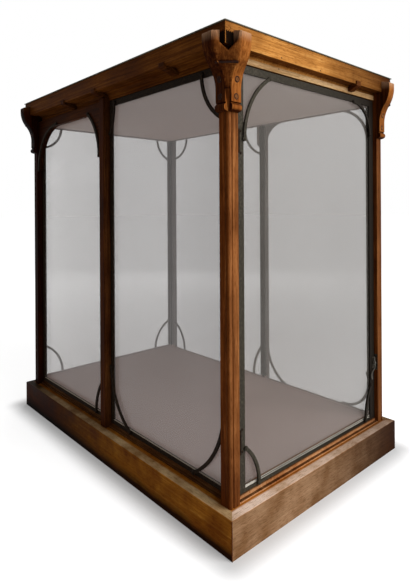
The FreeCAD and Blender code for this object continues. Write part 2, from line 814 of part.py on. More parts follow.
def knuckle_spans(height):
    half, half_middle = hinge_length / 2, hinge_length * middle_knuckle_share / 2
    low = (height - half, height - half_middle - knuckle_gap / 2)
    middle = (height - half_middle + knuckle_gap / 2, height + half_middle - knuckle_gap / 2)
    high = (height + half_middle + knuckle_gap / 2, height + half)
    return low, middle, high


def post_leaf_plate(height, clearance=0.0):
    half = hinge_length / 2
    reach = hinge_d + knuckle_web / 2
    return DOOR.block(-post_inner_side - hinge_leaf_thickness, clearance - post_inner_side,
                      reach - hinge_leaf_width, reach, height - half, height + half)


def hinge_mortises():
    plates = [post_leaf_plate(height, overrun) for height in hinge_heights]
    return plates[0].fuse(plates[1:])


def post_leaf(height):
    leaf = post_leaf_plate(height)
    for span in knuckle_spans(height)[::2]:
        sides = (hinge_d - knuckle_web / 2, hinge_d + knuckle_web / 2)
        web = DOOR.block(-post_inner_side, hinge_u, *sides, *span)
        leaf = leaf.fuse(web).fuse(upright(knuckle_radius, *span))
    bore = upright(hinge_pin_radius + hinge_pin_clearance, height - hinge_length, height + hinge_length)
    return leaf.cut(bore).removeSplitter()


def door_leaf(height):
    half = hinge_length / 2
    middle = knuckle_spans(height)[1]
    inner = -door_edge
    outer = inner - hinge_leaf_thickness
    front = DOOR.frame_face
    leaf = DOOR.block(outer, inner, front - bar_depth, front, height - half, height + half)
    tongue = DOOR.block(outer, inner, front - bar_thickness, hinge_d, *middle)
    leaf = leaf.fuse(tongue).fuse(upright(knuckle_radius, *middle))
    bore = upright(hinge_pin_radius + hinge_pin_clearance, height - hinge_length, height + hinge_length)
    return leaf.cut(bore).removeSplitter()


def hinge_pin(height):
    half = hinge_length / 2
    shaft = upright(hinge_pin_radius, height - half, height + half)
    head = upright(knuckle_radius, height + half, height + half + hinge_pin_proud)
    return shaft.fuse(head).removeSplitter()


def make_hinges():
    save("hinge_post_leaves", *[post_leaf(height) for height in hinge_heights])
    save("hinge_door_leaves", *[door_leaf(height) for height in hinge_heights])
    save("hinge_pins", *[hinge_pin(height) for height in hinge_heights])


# Catch: a lever on a riveted pin that turns its tongue into a keeper let into the back post
catch_u = door_edge - bar_width / 2
catch_face = DOOR.frame_face + catch_plate_thickness
lever_back = catch_face + catch_lever_gap
lever_front = lever_back + catch_lever_thickness


def catch_plate():
    half_width, half_height = catch_plate_width / 2, catch_plate_height / 2
    plate = DOOR.block(catch_u - half_width, catch_u + half_width, DOOR.frame_face, catch_face,
                       catch_height - half_height, catch_height + half_height)
    head_start = lever_front + catch_lever_gap
    pin = DOOR.rod(catch_pin_radius, catch_u, catch_height, catch_face, head_start)
    head = DOOR.rod(catch_head_radius, catch_u, catch_height, head_start, head_start + catch_head_height)
    return plate.fuse(pin).fuse(head).removeSplitter()


def catch_lever():
    half = catch_lever_width / 2
    eye = DOOR.rod(catch_eye_radius, catch_u, catch_height, lever_back, lever_front)
    tongue = DOOR.block(catch_u - half, catch_u + half, lever_back, lever_front,
                        catch_height, catch_height + catch_tongue_reach)
    end_u, end_z = catch_u - catch_lever_sway, catch_height - catch_lever_drop
    mid_u, mid_z = (catch_u + end_u) / 2, (catch_height + end_z) / 2
    bow_u, bow_z = catch_bow_share * catch_lever_sway, catch_bow_share * catch_lever_drop
    steps = [((catch_u - half + bow_u, catch_height - bow_z), (mid_u - half, mid_z))]
    steps.append(((end_u - half - bow_u, end_z + bow_z), (end_u - half, end_z)))
    steps.append(((end_u, end_z - half), (end_u + half, end_z)))
    steps.append(((end_u + half - bow_u, end_z + bow_z), (mid_u + half, mid_z)))
    steps.append(((catch_u + half + bow_u, catch_height - bow_z), (catch_u + half, catch_height)))
    handle = DOOR.plate((catch_u - half, catch_height), steps, lever_back, lever_front)
    lever = eye.fuse(tongue).fuse(handle).removeSplitter()
    hole = catch_pin_radius + catch_pin_clearance
    return lever.cut(DOOR.rod(hole, catch_u, catch_height, catch_face, lever_front + overrun))


# The slot is as tall as the swinging tongue needs where it passes the post's face.
def keeper_slot():
    tongue_corner = math.hypot(catch_tongue_reach, catch_lever_width / 2)
    swing = math.sqrt(tongue_corner ** 2 - (post_inner_side - catch_u) ** 2)
    bottom = catch_height - catch_lever_width / 2 - keeper_slot_room
    top = catch_height + swing + keeper_slot_room
    back, front = lever_back - keeper_slot_room, lever_front + keeper_slot_room
    reach = post_inner_side + keeper_slot_depth
    return DOOR.block(post_inner_side - overrun, reach, back, front, bottom, top)


def keeper_blank(clearance=0.0):
    outer = DOOR.face - keeper_edge
    half = keeper_height / 2
    return DOOR.block(post_inner_side - clearance, post_inner_side + keeper_thickness,
                      outer - keeper_width, outer, catch_height - half, catch_height + half)


def keeper_mortise():
    return keeper_blank(overrun).fuse(keeper_slot())


def make_catch():
    save("catch_plate", catch_plate())
    save("catch_lever", catch_lever())
    save("catch_keeper", keeper_blank().cut(keeper_slot()))


os.makedirs("parts", exist_ok=True)
make_plinth()
make_floor()
make_posts_and_brackets()
make_cornice()
make_roof()
make_fixed_glazing()
make_apron()
make_door()
make_hinges()
make_catch()
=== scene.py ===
# %% [markdown]
# # Glazed display case
# The object is an old free-standing case: a wooden plinth, stained posts with carved brackets,
# iron-framed panes with curved braces, one hinged end door and a boxed cornice. The CAD model already has
# every solid in its real place, so this lesson only dresses it: finishes, softened edges, the small
# fastenings, light and camera.

# %% Load the case
import bpy
import json
import math
from mathutils import Matrix, Vector
from mathutils.bvhtree import BVHTree


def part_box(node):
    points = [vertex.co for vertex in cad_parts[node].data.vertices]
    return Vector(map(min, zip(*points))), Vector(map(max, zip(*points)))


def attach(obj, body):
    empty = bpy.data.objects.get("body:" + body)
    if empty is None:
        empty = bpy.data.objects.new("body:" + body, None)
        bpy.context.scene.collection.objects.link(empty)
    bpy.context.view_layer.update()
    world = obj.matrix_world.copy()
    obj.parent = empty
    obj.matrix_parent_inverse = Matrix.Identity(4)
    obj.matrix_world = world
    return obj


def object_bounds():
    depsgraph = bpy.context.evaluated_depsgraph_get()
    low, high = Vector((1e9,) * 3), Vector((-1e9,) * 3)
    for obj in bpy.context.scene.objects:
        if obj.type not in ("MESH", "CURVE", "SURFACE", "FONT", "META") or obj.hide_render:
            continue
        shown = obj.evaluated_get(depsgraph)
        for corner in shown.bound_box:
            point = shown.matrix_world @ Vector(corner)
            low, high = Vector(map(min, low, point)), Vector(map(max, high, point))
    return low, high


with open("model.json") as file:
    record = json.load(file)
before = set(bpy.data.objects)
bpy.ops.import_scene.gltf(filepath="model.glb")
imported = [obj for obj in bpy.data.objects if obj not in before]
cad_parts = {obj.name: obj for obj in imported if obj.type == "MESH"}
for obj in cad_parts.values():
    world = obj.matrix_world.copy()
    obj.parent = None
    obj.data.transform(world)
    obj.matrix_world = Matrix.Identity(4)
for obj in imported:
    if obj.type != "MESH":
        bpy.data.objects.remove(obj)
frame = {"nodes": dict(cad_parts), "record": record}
nodes = frame["nodes"]
cad_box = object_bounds()
MM = 0.001
print("case loaded:", len(nodes), "nodes, box", [tuple(round(c, 3) for c in corner) for corner in cad_box])

# %% [markdown]
# ## Camera
# The photograph was taken with a level camera, close to the near corner. A camera could be moved by eye
# until the picture fits; here edges that are parallel on the case were traced to their vanishing points,
# which gives the turn of the camera and its focal length, and the known height of the case gives its
# place. But for a third of a degree of roll the camera stays level and its lens is shifted down, so
# uprights stay upright.

# %% Camera
PHOTO_HEIGHT = 586
FOCAL_PIXELS = 479.39
HORIZON_PIXEL = 208.2
CAMERA_PLACE = Vector((1.274, -1.0728, 0.7485))
CAMERA_YAW = math.radians(48.13)
CAMERA_ROLL = math.radians(-0.31)


def put_in_scene(name, data):
    thing = bpy.data.objects.new(name, data)
    bpy.context.scene.collection.objects.link(thing)
    return thing


camera_data = bpy.data.cameras.new("photo_camera")
camera_data.sensor_fit = "VERTICAL"
camera_data.lens = FOCAL_PIXELS / PHOTO_HEIGHT * camera_data.sensor_height
camera_data.shift_y = (HORIZON_PIXEL - PHOTO_HEIGHT / 2) / PHOTO_HEIGHT
camera = put_in_scene("photo_camera", camera_data)
level_turn = Matrix.Rotation(CAMERA_YAW, 4, "Z") @ Matrix.Rotation(math.pi / 2, 4, "X")
camera.matrix_world = Matrix.Translation(CAMERA_PLACE) @ level_turn @ Matrix.Rotation(CAMERA_ROLL, 4, "Z")
bpy.context.scene.camera = camera
print("lens", round(camera_data.lens, 2), "mm, shift", round(camera_data.shift_y, 4))

# %% [markdown]
# ## Helpers for the finishes
# Colours are written as sRGB hex, as a paint chart would give them, and one function turns them to the
# linear values that Blender works in. One more function adds a node, sets its inputs and links them, so
# that each finish below reads as a list of what lies on the real surface. The others set a colour ramp,
# lay dark shades over a colour and start a new finish. Pictures wrapped round the pieces could give the
# finishes too, but patterns made by nodes have real sizes, no seams and need no files.

# %% Helpers for the finishes
WHITE = "#ffffff"


def linear(chart):
    # The curve that sRGB defines
    shares = [int(chart[i:i + 2], 16) / 255 for i in (1, 3, 5)]
    return tuple(s / 12.92 if s <= 0.04045 else ((s + 0.055) / 1.055) ** 2.4 for s in shares) + (1.0,)


def add(tree, kind, inputs=None, **settings):
    node = tree.nodes.new("ShaderNode" + kind)
    for name, value in settings.items():
        setattr(node, name, value)
    for name, value in (inputs or {}).items():
        if isinstance(value, bpy.types.NodeSocket):
            tree.links.new(value, node.inputs[name])
        else:
            node.inputs[name].default_value = value
    return node


def set_ramp(node, *stops):
    ramp = node.color_ramp
    while len(ramp.elements) < len(stops):
        ramp.elements.new(1.0)
    for element, (at, chart) in zip(ramp.elements, stops):
        element.position = at
        element.color = linear(chart)
    return node.outputs["Color"]


def darkened(tree, colour, shades):
    for shade in shades:
        layer = {"Fac": 1.0, "Color1": colour, "Color2": shade}
        colour = add(tree, "MixRGB", layer, blend_type="MULTIPLY").outputs[0]
    return colour


def new_finish(name, **constants):
    material = bpy.data.materials.new(name)
    material.use_nodes = True
    skin = material.node_tree.nodes["Principled BSDF"]
    for socket, value in constants.items():
        skin.inputs[socket.replace("_", " ")].default_value = value
    return material, material.node_tree, skin


print("black, white:", linear("#000000")[:3], linear(WHITE)[:3])

# %% [markdown]
# ## Grain and pores of the wood
# All timber on the case is one close-grained oak, planed, stained dark and waxed, with its grain along
# each piece. Noise that is stretched along one axis of the object gives grain that runs right through a
# board, also round its corners. The same noise, finer and shorter, gives the open pores. Real grain lines
# are under 2 mm apart and pores under half a millimetre wide; they are drawn 5 mm apart and 1.2 mm wide
# so that they show at the size of the picture.

# %% Grain and pores of the wood
GRAIN_WIDTH = 5 * MM
GRAIN_LENGTH = 170 * MM
GRAIN_NOISE = {"Scale": 1.0, "Detail": 5.0, "Distortion": 0.6}
PORE_WIDTH = 1.2 * MM
PORE_LENGTH = 14 * MM
PORE_NOISE = {"Scale": 1.0, "Detail": 2.0}


def streaks(tree, place, axis, length, width, noise):
    scale = tuple(1 / (length if way == axis else width) for way in "XYZ")
    lines = add(tree, "Mapping", {"Vector": place, "Scale": scale})
    return add(tree, "TexNoise", {"Vector": lines.outputs[0], **noise}).outputs["Fac"]


print("grain lines", GRAIN_WIDTH, "m apart, pores", PORE_WIDTH, "m wide")

# %% [markdown]
# ## Painted light and shade on the stain
# The stain carries painted light and shade. Faces turned to the door end, where the main lamp stands, are
# painted golden, faces turned away are painted dark, and places far from the near corner are painted
# darker still. Stronger lamps could only brighten everything on one side. Here the way a face looks
# decides how much painted light it takes, and its distance from the near corner how much painted shade.

# %% Painted light and shade on the stain
LIT_FACE_LIMITS = (0.56, 0.95)
FAR_FROM, FAR_TO = 0.3, 1.0
# Painted shade: the colour laid over places far from the near corner
FAR_SHADES = ((0.0, WHITE), (1.0, "#523c28"))
FAR_LEAST = 0.25
NEAR_SIDES = (1, -1, 0)
NEAR_SIDES_FROM, NEAR_SIDES_TO = -0.5, 0.5


def distance_shade(tree, spot, far_loss):
    near = Vector((cad_box[1][0], cad_box[0][1], 0))
    loss = Vector((far_loss[0] / (2 * near.x), far_loss[1] / (2 * near.y), 0))
    depth = add(tree, "VectorMath", {0: spot["Object"], 1: -loss}, operation="DOT_PRODUCT")
    depth = add(tree, "Math", {0: depth.outputs["Value"], 1: near.dot(loss)}, operation="ADD")
    depth = add(tree, "MapRange", {"Value": depth.outputs[0], "From Min": FAR_FROM, "From Max": FAR_TO},
                interpolation_type="SMOOTHSTEP")
    # The front and the door end take the whole painted shade, the other two sides only a little of it
    shown = add(tree, "VectorMath", {0: spot["Normal"], 1: NEAR_SIDES}, operation="DOT_PRODUCT")
    shown = add(tree, "MapRange", {"Value": shown.outputs["Value"], "From Min": NEAR_SIDES_FROM,
                                   "From Max": NEAR_SIDES_TO, "To Min": FAR_LEAST})
    depth = add(tree, "Math", {0: depth.outputs[0], 1: shown.outputs["Result"]}, operation="MULTIPLY")
    return set_ramp(add(tree, "ValToRGB", {"Fac": depth.outputs[0]}), *FAR_SHADES)


# Painted light: faces take the lit stain where the X of their direction lies within these limits
print("faces fade where the X of their direction is in", LIT_FACE_LIMITS)

# %% [markdown]
# ## Rubbed ledge of the plinth
# The top of the plinth stands out as a ledge. Hands and dusters have rubbed its outer edge bare, and
# beside the sill it keeps its stain. Towards the far end it is painted black, as painted shade. That could
# be painted by hand on the mesh. The distance from the plinth's outline puts it in place with a few nodes,
# and it follows the case when a size changes.

# %% Rubbed ledge of the plinth
PLINTH_HALF_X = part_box("plinth_beam_right")[1].x
PLINTH_HALF_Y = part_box("plinth_beam_back")[1].y
RUBBED_WIDTH = 20 * MM
RUBBED_BLEND = 5 * MM
LYING_FROM, LYING_TO = 0.6, 0.95
SHADED_LEDGE_LENGTH = 220 * MM
SHADED_LEDGE_FULL = 0.2
LEDGE_PAINTED_SHADE = "#40301f"


def past_outline(tree, place, half_x, half_y):
    rim = add(tree, "VectorMath", {0: place}, operation="ABSOLUTE")
    rim = add(tree, "VectorMath", {0: rim.outputs[0], 1: (-half_x, -half_y, 0)})
    rim = add(tree, "SeparateXYZ", {0: rim.outputs[0]}).outputs
    return add(tree, "Math", {0: rim["X"], 1: rim["Y"]}, operation="MAXIMUM").outputs[0]


def rubbed_ledge(tree, stain, place, upward, worn):
    rim = past_outline(tree, place, PLINTH_HALF_X, PLINTH_HALF_Y)
    rim = add(tree, "MapRange", {"Value": rim, "From Min": -RUBBED_WIDTH - RUBBED_BLEND,
                                 "From Max": -RUBBED_WIDTH})
    rubbed = add(tree, "MapRange", {"Value": upward, "From Min": LYING_FROM, "From Max": LYING_TO})
    rubbed = add(tree, "Math", {0: rubbed.outputs["Result"], 1: rim.outputs["Result"]}, operation="MULTIPLY")
    # Painted shade towards the far end
    along = add(tree, "SeparateXYZ", {0: place}).outputs["X"]
    along = add(tree, "MapRange", {"Value": along, "From Min": -PLINTH_HALF_X,
                                   "From Max": SHADED_LEDGE_LENGTH - PLINTH_HALF_X})
    ledge = add(tree, "ValToRGB", {"Fac": along.outputs["Result"]})
    ledge = set_ramp(ledge, (SHADED_LEDGE_FULL, LEDGE_PAINTED_SHADE), (1.0, worn))
    return add(tree, "MixRGB", {"Fac": rubbed.outputs[0], "Color1": stain, "Color2": ledge}).outputs[0]


print("ledge rubbed", RUBBED_WIDTH, "m wide, black over", SHADED_LEDGE_LENGTH, "m")

# %% [markdown]
# ## Pale horn tops, dark plinth foot and lining paint
# The tops of the bracket horns are paler. The lowest part of the plinth is darker towards the floor, and
# the paint of the lining was carried over the sills, up to the panes. Each could be a thin mesh of its
# own. Since they depend only on height, or on the outline of the panes, they are layers in the finish of
# the wood.

# %% Pale horn tops, dark plinth foot and lining paint
PANE_HALF_X = -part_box("glass_left")[0].x
PANE_HALF_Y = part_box("glass_back_left")[1].y
FOOT_DARK_TOP = 66 * MM
FOOT_DARK_FULL = 0.3
HORN_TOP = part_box("bracket_front_right")[1].z
HORN_PALE_DEPTH = 30 * MM
HORN_PALE_SHARE = 0.75


def darker_near_floor(tree, height, patch, foot_colour):
    # It reaches as high as the patches of the stain let it
    climb = add(tree, "Math", {0: patch, 1: FOOT_DARK_TOP}, operation="MULTIPLY")
    foot = add(tree, "MapRange", {"Value": height, "From Max": climb.outputs[0]})
    foot = add(tree, "ValToRGB", {"Fac": foot.outputs["Result"]})
    return set_ramp(foot, (FOOT_DARK_FULL, foot_colour), (1.0, WHITE))


def paler_horn_tops(tree, stain, height, worn):
    rub = add(tree, "MapRange", {"Value": height, "From Min": HORN_TOP - HORN_PALE_DEPTH,
                                 "From Max": HORN_TOP, "To Max": HORN_PALE_SHARE},
              interpolation_type="SMOOTHSTEP")
    layer = {"Fac": rub.outputs["Result"], "Color1": stain, "Color2": linear(worn)}
    return add(tree, "MixRGB", layer).outputs[0]


def carried_paint(tree, stain, place, paint):
    inside = past_outline(tree, place, PANE_HALF_X, PANE_HALF_Y)
    inside = add(tree, "Math", {0: inside, 1: 0.0}, operation="LESS_THAN")
    layer = {"Fac": inside.outputs[0], "Color1": stain, "Color2": linear(paint)}
    return add(tree, "MixRGB", layer).outputs[0]


print("dirt up to", FOOT_DARK_TOP, "m, horns worn from", round(HORN_TOP - HORN_PALE_DEPTH, 3), "m")

# %% [markdown]
# ## Stained wood
# One function lays the parts of the finish over each other: stain in the grain, painted light on faces
# turned to the door end, the paler horn tops and the worn ledge, then painted shade, grime, darkening
# towards the floor and pores, and last any paint. A broad noise makes the grime patchy and the wax
# uneven. Every wood on the case then needs only its own colours and a few measures.

# %% Stained wood
PATCH_DETAIL = 3.0
GRAIN_STOPS = (0.3, 0.52, 0.72)
GRIME_FROM, GRIME_TO = 0.35, 0.65
PORE_SHADES = ((0.3, "#c9bdb2"), (0.5, WHITE))
PORE_DEPTH = 0.25 * MM
PORE_SHARE = 0.5
RELIEF_STRENGTH = 0.5
DRY_WAX_SHINE = 0.015
WAX_SMOOTHEST, WAX_ROUGHEST = 0.4, 0.65


def stained_wood(name, axis, shade_side_stain, lit_side_stain, grime, patch_size, far_loss, worn_top=None, foot_darkening=None,
                 lined=None, pale_head=None, lit_faces=LIT_FACE_LIMITS):
    material, tree, skin = new_finish(name, IOR=1.5, Specular_IOR_Level=DRY_WAX_SHINE)
    spot = add(tree, "TexCoord").outputs
    place = spot["Object"]
    height = add(tree, "SeparateXYZ", {0: place}).outputs["Z"]
    facing = add(tree, "SeparateXYZ", {0: spot["Normal"]}).outputs
    grain = streaks(tree, place, axis, GRAIN_LENGTH, GRAIN_WIDTH, GRAIN_NOISE)
    pores = streaks(tree, place, axis, PORE_LENGTH, PORE_WIDTH, PORE_NOISE)
    patches = add(tree, "TexNoise", {"Vector": place, "Scale": 1 / patch_size, "Detail": PATCH_DETAIL})
    patch = patches.outputs["Fac"]
    # Painted light: faces that look to the door end take the lit stain fully
    lit_share = add(tree, "MapRange", {"Value": facing["X"], "From Min": lit_faces[0], "From Max": lit_faces[1]})
    dark = set_ramp(add(tree, "ValToRGB", {"Fac": grain}), *zip(GRAIN_STOPS, shade_side_stain))
    pale = set_ramp(add(tree, "ValToRGB", {"Fac": grain}), *zip(GRAIN_STOPS, lit_side_stain))
    layer = {"Fac": lit_share.outputs["Result"], "Color1": dark, "Color2": pale}
    stain = add(tree, "MixRGB", layer).outputs[0]
    if pale_head:
        stain = paler_horn_tops(tree, stain, height, pale_head)
    if worn_top:
        stain = rubbed_ledge(tree, stain, place, facing["Z"], worn_top)
    shades = [distance_shade(tree, spot, far_loss),
              set_ramp(add(tree, "ValToRGB", {"Fac": patch}), (GRIME_FROM, grime), (GRIME_TO, WHITE))]
    if foot_darkening:
        shades.append(darker_near_floor(tree, height, patch, foot_darkening))
    shades.append(set_ramp(add(tree, "ValToRGB", {"Fac": pores}), *PORE_SHADES))
    stain = darkened(tree, stain, shades)
    if lined:
        stain = carried_paint(tree, stain, place, lined)
    tree.links.new(stain, skin.inputs["Base Color"])
    wax = add(tree, "MapRange", {"Value": patch, "To Min": WAX_SMOOTHEST, "To Max": WAX_ROUGHEST})
    tree.links.new(wax.outputs["Result"], skin.inputs["Roughness"])
    relief = add(tree, "MixRGB", {"Fac": PORE_SHARE, "Color1": grain, "Color2": pores})
    bump = add(tree, "Bump", {"Height": relief.outputs[0], "Strength": RELIEF_STRENGTH,
                              "Distance": PORE_DEPTH})
    tree.links.new(bump.outputs["Normal"], skin.inputs["Normal"])
    return material


print("wax roughness from", WAX_SMOOTHEST, "to", WAX_ROUGHEST)

# %% [markdown]
# ## The woods of the case
# It is the same oak everywhere, but hands, grime and painted light and shade have made eight finishes of
# it. Each has its stain for faces in shade and for faces that take painted light from the door end, its
# grime and the size of the grime's patches, and how much painted shade darkens it along and across the
# case. Some also have a worn top, paler horn tops, darkening towards the floor, lining paint, or their
# own limits for the painted light. One finish for all would be shorter and would look like new furniture.

# %% The woods of the case
BROAD_PATCH = 150 * MM
MOTTLE = 60 * MM
BEAD_LIT_LIMITS = (0.25, 0.8)
WEB_LIT_LIMITS = (0.64, 0.95)
CORNICE_STAIN = ("#542a0c", "#7c4618", "#985e28")
PLINTH_STAIN = ("#aa641a", "#be7826", "#ce8c3a")
PLINTH_LIT_SIDE = ("#987656", "#a68160", "#b48f6e")
WOODS = {
    # Red-brown and even; painted light makes the bead that looks to the door end paler
    "waxed_post_oak": dict(shade_side_stain=("#5a2c0e", "#88471a", "#ae6430"), lit_side_stain=("#704222", "#985e32", "#b27846"),
                           grime="#b9ab9c", patch_size=BROAD_PATCH, far_loss=(1.42, 0.6),
                           lit_faces=BEAD_LIT_LIMITS),
    # Painted shade makes it darkest of all where it looks away from the door end; its horn tops are paler
    "carved_bracket_oak": dict(shade_side_stain=("#2e1204", "#4c220a", "#6c3c18"),
                               lit_side_stain=("#864c1e", "#ac682e", "#c48242"), grime="#c4b6a8",
                               patch_size=BROAD_PATCH, far_loss=(1.05, 0.6), pale_head="#dcb08c",
                               lit_faces=WEB_LIT_LIMITS),
    # Painted light makes it golden over the door, painted shade brown along the front
    "cornice_oak": dict(shade_side_stain=CORNICE_STAIN, lit_side_stain=("#a46a2c", "#d08e46", "#e2a65c"), grime="#b4a696",
                        patch_size=BROAD_PATCH, far_loss=(0.62, 0.95)),
    # Brown on all sides, since the cornice keeps the light off
    "shaded_cornice_oak": dict(shade_side_stain=("#3a1c08", "#5e3012", "#7a4820"),
                               lit_side_stain=("#4c280c", "#683c1a", "#84562c"), grime="#b4a696",
                               patch_size=BROAD_PATCH, far_loss=(0.85, 0.5)),
    # Painted light makes it straw-coloured where it faces the door end
    "bare_rail_oak": dict(shade_side_stain=CORNICE_STAIN, lit_side_stain=("#b4905f", "#d6b080", "#e6c69a"), grime="#c8b8a6",
                          patch_size=BROAD_PATCH, far_loss=(0.5, 0.6)),
    # Rubbed and mottled, mauve-grey on the inner side
    "rubbed_sill_oak": dict(shade_side_stain=("#4a2c16", "#6a4426", "#86603c"), lit_side_stain=("#b0703e", "#d29868", "#e2b488"),
                            grime="#d0bca8", patch_size=MOTTLE, far_loss=(0.7, 0.7), lined="#b8a098"),
    # Orange-brown and blotchy, dark near the floor and pale along the ledge
    "plinth_oak": dict(shade_side_stain=PLINTH_STAIN, lit_side_stain=PLINTH_LIT_SIDE, grime="#b8a48e", patch_size=MOTTLE,
                       far_loss=(1.15, 1.2), worn_top="#d2b284", foot_darkening="#453a28"),
    # Painted light: a paler, greyer and cleaner copy for the end beam, which faces the main lamp,
    # with the palest ledge
    "lit_side_plinth_oak": dict(shade_side_stain=PLINTH_STAIN, lit_side_stain=PLINTH_LIT_SIDE, grime="#d2c4b2", patch_size=MOTTLE,
                             far_loss=(1.15, 1.02), worn_top="#ffe2cc"),
}
wood_finishes = {}


def wood_finish(kind, axis):
    name = kind + "_" + axis
    if name not in wood_finishes:
        wood_finishes[name] = stained_wood(name, axis, **WOODS[kind])
    return wood_finishes[name]


print("woods:", ", ".join(WOODS))

# %% [markdown]
# ## Dust and carried paint
# Dust has settled in drifts on the roof sheet and lies on the foot bars in front, and the paint of the
# lining was carried over the far bars. Thin separate meshes could carry both, but would hardly be thicker
# than paint. So they are layers over the coat below, put in place by height and by the way a face looks.

# %% Dust and carried paint
DRIFT_SIZE = 240 * MM
DRIFT_NOISE = {"Scale": 1 / DRIFT_SIZE, "Detail": 6.0, "Roughness": 0.6}
DRIFT_FROM, DRIFT_TO, DRIFT_COVER = 0.42, 0.68, 0.7


def dust_drifts(tree, coat, place, dust):
    drifts = add(tree, "TexNoise", {"Vector": place, **DRIFT_NOISE})
    cover = add(tree, "MapRange", {"Value": drifts.outputs["Fac"], "From Min": DRIFT_FROM,
                                   "From Max": DRIFT_TO, "To Max": DRIFT_COVER})
    layer = {"Fac": cover.outputs["Result"], "Color1": coat, "Color2": linear(dust)}
    return add(tree, "MixRGB", layer).outputs[0]


def covered_faces(tree, coat, spot, limit, side, faces, cover):
    # Below or above a limit, on the faces that look one way
    height = add(tree, "SeparateXYZ", {0: spot["Object"]}).outputs["Z"]
    there = add(tree, "Math", {0: height, 1: limit}, operation=side)
    way, least = faces
    facing = add(tree, "VectorMath", {0: spot["Normal"], 1: way}, operation="DOT_PRODUCT")
    facing = add(tree, "Math", {0: facing.outputs["Value"], 1: least}, operation="GREATER_THAN")
    share = add(tree, "Math", {0: there.outputs[0], 1: facing.outputs[0]}, operation="MULTIPLY")
    return add(tree, "MixRGB", {"Fac": share.outputs[0], "Color1": coat, "Color2": linear(cover)}).outputs[0]


print("drifts of dust", DRIFT_SIZE, "m wide")

# %% [markdown]
# ## Coats with specks and pits
# Old paint, bare steel, glue, putty and the dark coats of painted shade have one thing in common: a coat
# with small worn specks and a pitted surface. Each could have a function of its own. One function, with
# one noise for the specks and one for the pits, makes them all, so that they have aged alike. Real specks
# and pits are mostly under a millimetre; they are drawn 5 mm and 2 mm wide so that they show.

# %% Coats with specks and pits
SPECK_SIZE = 5 * MM
SPECK_NOISE = {"Scale": 1 / SPECK_SIZE, "Detail": 4.0, "Roughness": 0.65}
SPECK_STOPS = (0.32, 0.5, 0.66)
SPECK_SMOOTHER, SPECK_ROUGHER = 0.1, 0.2
PIT_SIZE = 2 * MM
PIT_NOISE = {"Scale": 1 / PIT_SIZE, "Detail": 2.0}
PIT_DEPTH = 0.15 * MM
PIT_STRENGTH = 0.4
LOSS_FROM, LOSS_TO = 0.2, 0.9
DULL_ROUGHNESS = 0.6
DULL_SHINE = 0.05


def speckled_coat(name, colours, roughness=DULL_ROUGHNESS, shine=DULL_SHINE, metallic=0.0, shaded=None,
                  far_shade=None, settled=None, covers=()):
    material, tree, skin = new_finish(name, Metallic=metallic, Specular_IOR_Level=shine)
    spot = add(tree, "TexCoord").outputs
    specks = add(tree, "TexNoise", {"Vector": spot["Object"], **SPECK_NOISE}).outputs["Fac"]
    pits = add(tree, "TexNoise", {"Vector": spot["Object"], **PIT_NOISE}).outputs["Fac"]
    coat = set_ramp(add(tree, "ValToRGB", {"Fac": specks}), *zip(SPECK_STOPS, colours))
    if settled:
        coat = dust_drifts(tree, coat, spot["Object"], settled)
    for cover in covers:
        coat = covered_faces(tree, coat, spot, *cover)
    shades = []
    if shaded:
        # Painted shade: faces that look away from the door end are darker
        facing = add(tree, "SeparateXYZ", {0: spot["Normal"]}).outputs["X"]
        facing = add(tree, "ValToRGB", {"Fac": facing})
        shades.append(set_ramp(facing, (LIT_FACE_LIMITS[0], shaded), (LIT_FACE_LIMITS[1], WHITE)))
    if far_shade:
        # Painted shade: darker along the door end towards the back, as on the wood
        along = add(tree, "SeparateXYZ", {0: spot["Object"]}).outputs["Y"]
        along = add(tree, "MapRange", {"Value": along, "From Min": cad_box[0][1], "From Max": cad_box[1][1]})
        along = add(tree, "ValToRGB", {"Fac": along.outputs["Result"]})
        shades.append(set_ramp(along, (LOSS_FROM, WHITE), (LOSS_TO, far_shade)))
    tree.links.new(darkened(tree, coat, shades), skin.inputs["Base Color"])
    dullness = add(tree, "MapRange", {"Value": specks, "To Min": roughness - SPECK_SMOOTHER,
                                      "To Max": roughness + SPECK_ROUGHER})
    tree.links.new(dullness.outputs["Result"], skin.inputs["Roughness"])
    bump = add(tree, "Bump", {"Height": pits, "Strength": PIT_STRENGTH, "Distance": PIT_DEPTH})
    tree.links.new(bump.outputs["Normal"], skin.inputs["Normal"])
    return material


print("specks", SPECK_SIZE, "m wide, pits", PIT_SIZE, "m wide")

# %% [markdown]
# ## Iron, steel and roof sheet
# The glazing bars are rolled iron that was painted, rubbed and has gone dull. Dust lies on the foot bars
# of the front, and the paint of the lining was carried over the inner sides of the far bars. The door's
# iron is a paler copy, as painted light. The fittings are bare steel, the screws are dark with painted
# shade on faces turned from the door end, and the roof is a thin painted sheet. Polished metal would
# mirror the lamps; these hardly shine, so all but the bare steel are made as paint.

# %% Iron, steel and roof sheet
FOOT_BAR_TOP = 114 * MM
HEAD_BAR = 16 * MM
HEAD_BAR_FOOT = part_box("frame_back_right")[1].z - HEAD_BAR
# A direction, and how far along it a face has to look at least
LYING_FACES = ((0, 0, 1), 0.8)
INWARD_FACES = ((1, -1, 0), -0.3)
DARK_PAINT = ("#130c08", "#1e150e", "#36291c")
# Nearly black, with brown specks where the paint is rubbed
painted_iron = speckled_coat("rubbed_painted_iron", DARK_PAINT)
# The same, with pale dust lying on the foot bars
front_iron = speckled_coat("dusty_front_iron", DARK_PAINT,
                           covers=[(FOOT_BAR_TOP, "LESS_THAN", LYING_FACES, "#a89a8a")])
# The same, mauve-grey at the foot and nearly white at the head, where the lining was painted; the head
# takes the ceiling's colour, which is painted light
far_iron = speckled_coat("lining_painted_far_iron", DARK_PAINT,
                         covers=[(FOOT_BAR_TOP, "LESS_THAN", INWARD_FACES, "#b0968f"),
                                 (HEAD_BAR_FOOT, "GREATER_THAN", INWARD_FACES, "#f0e0da")])
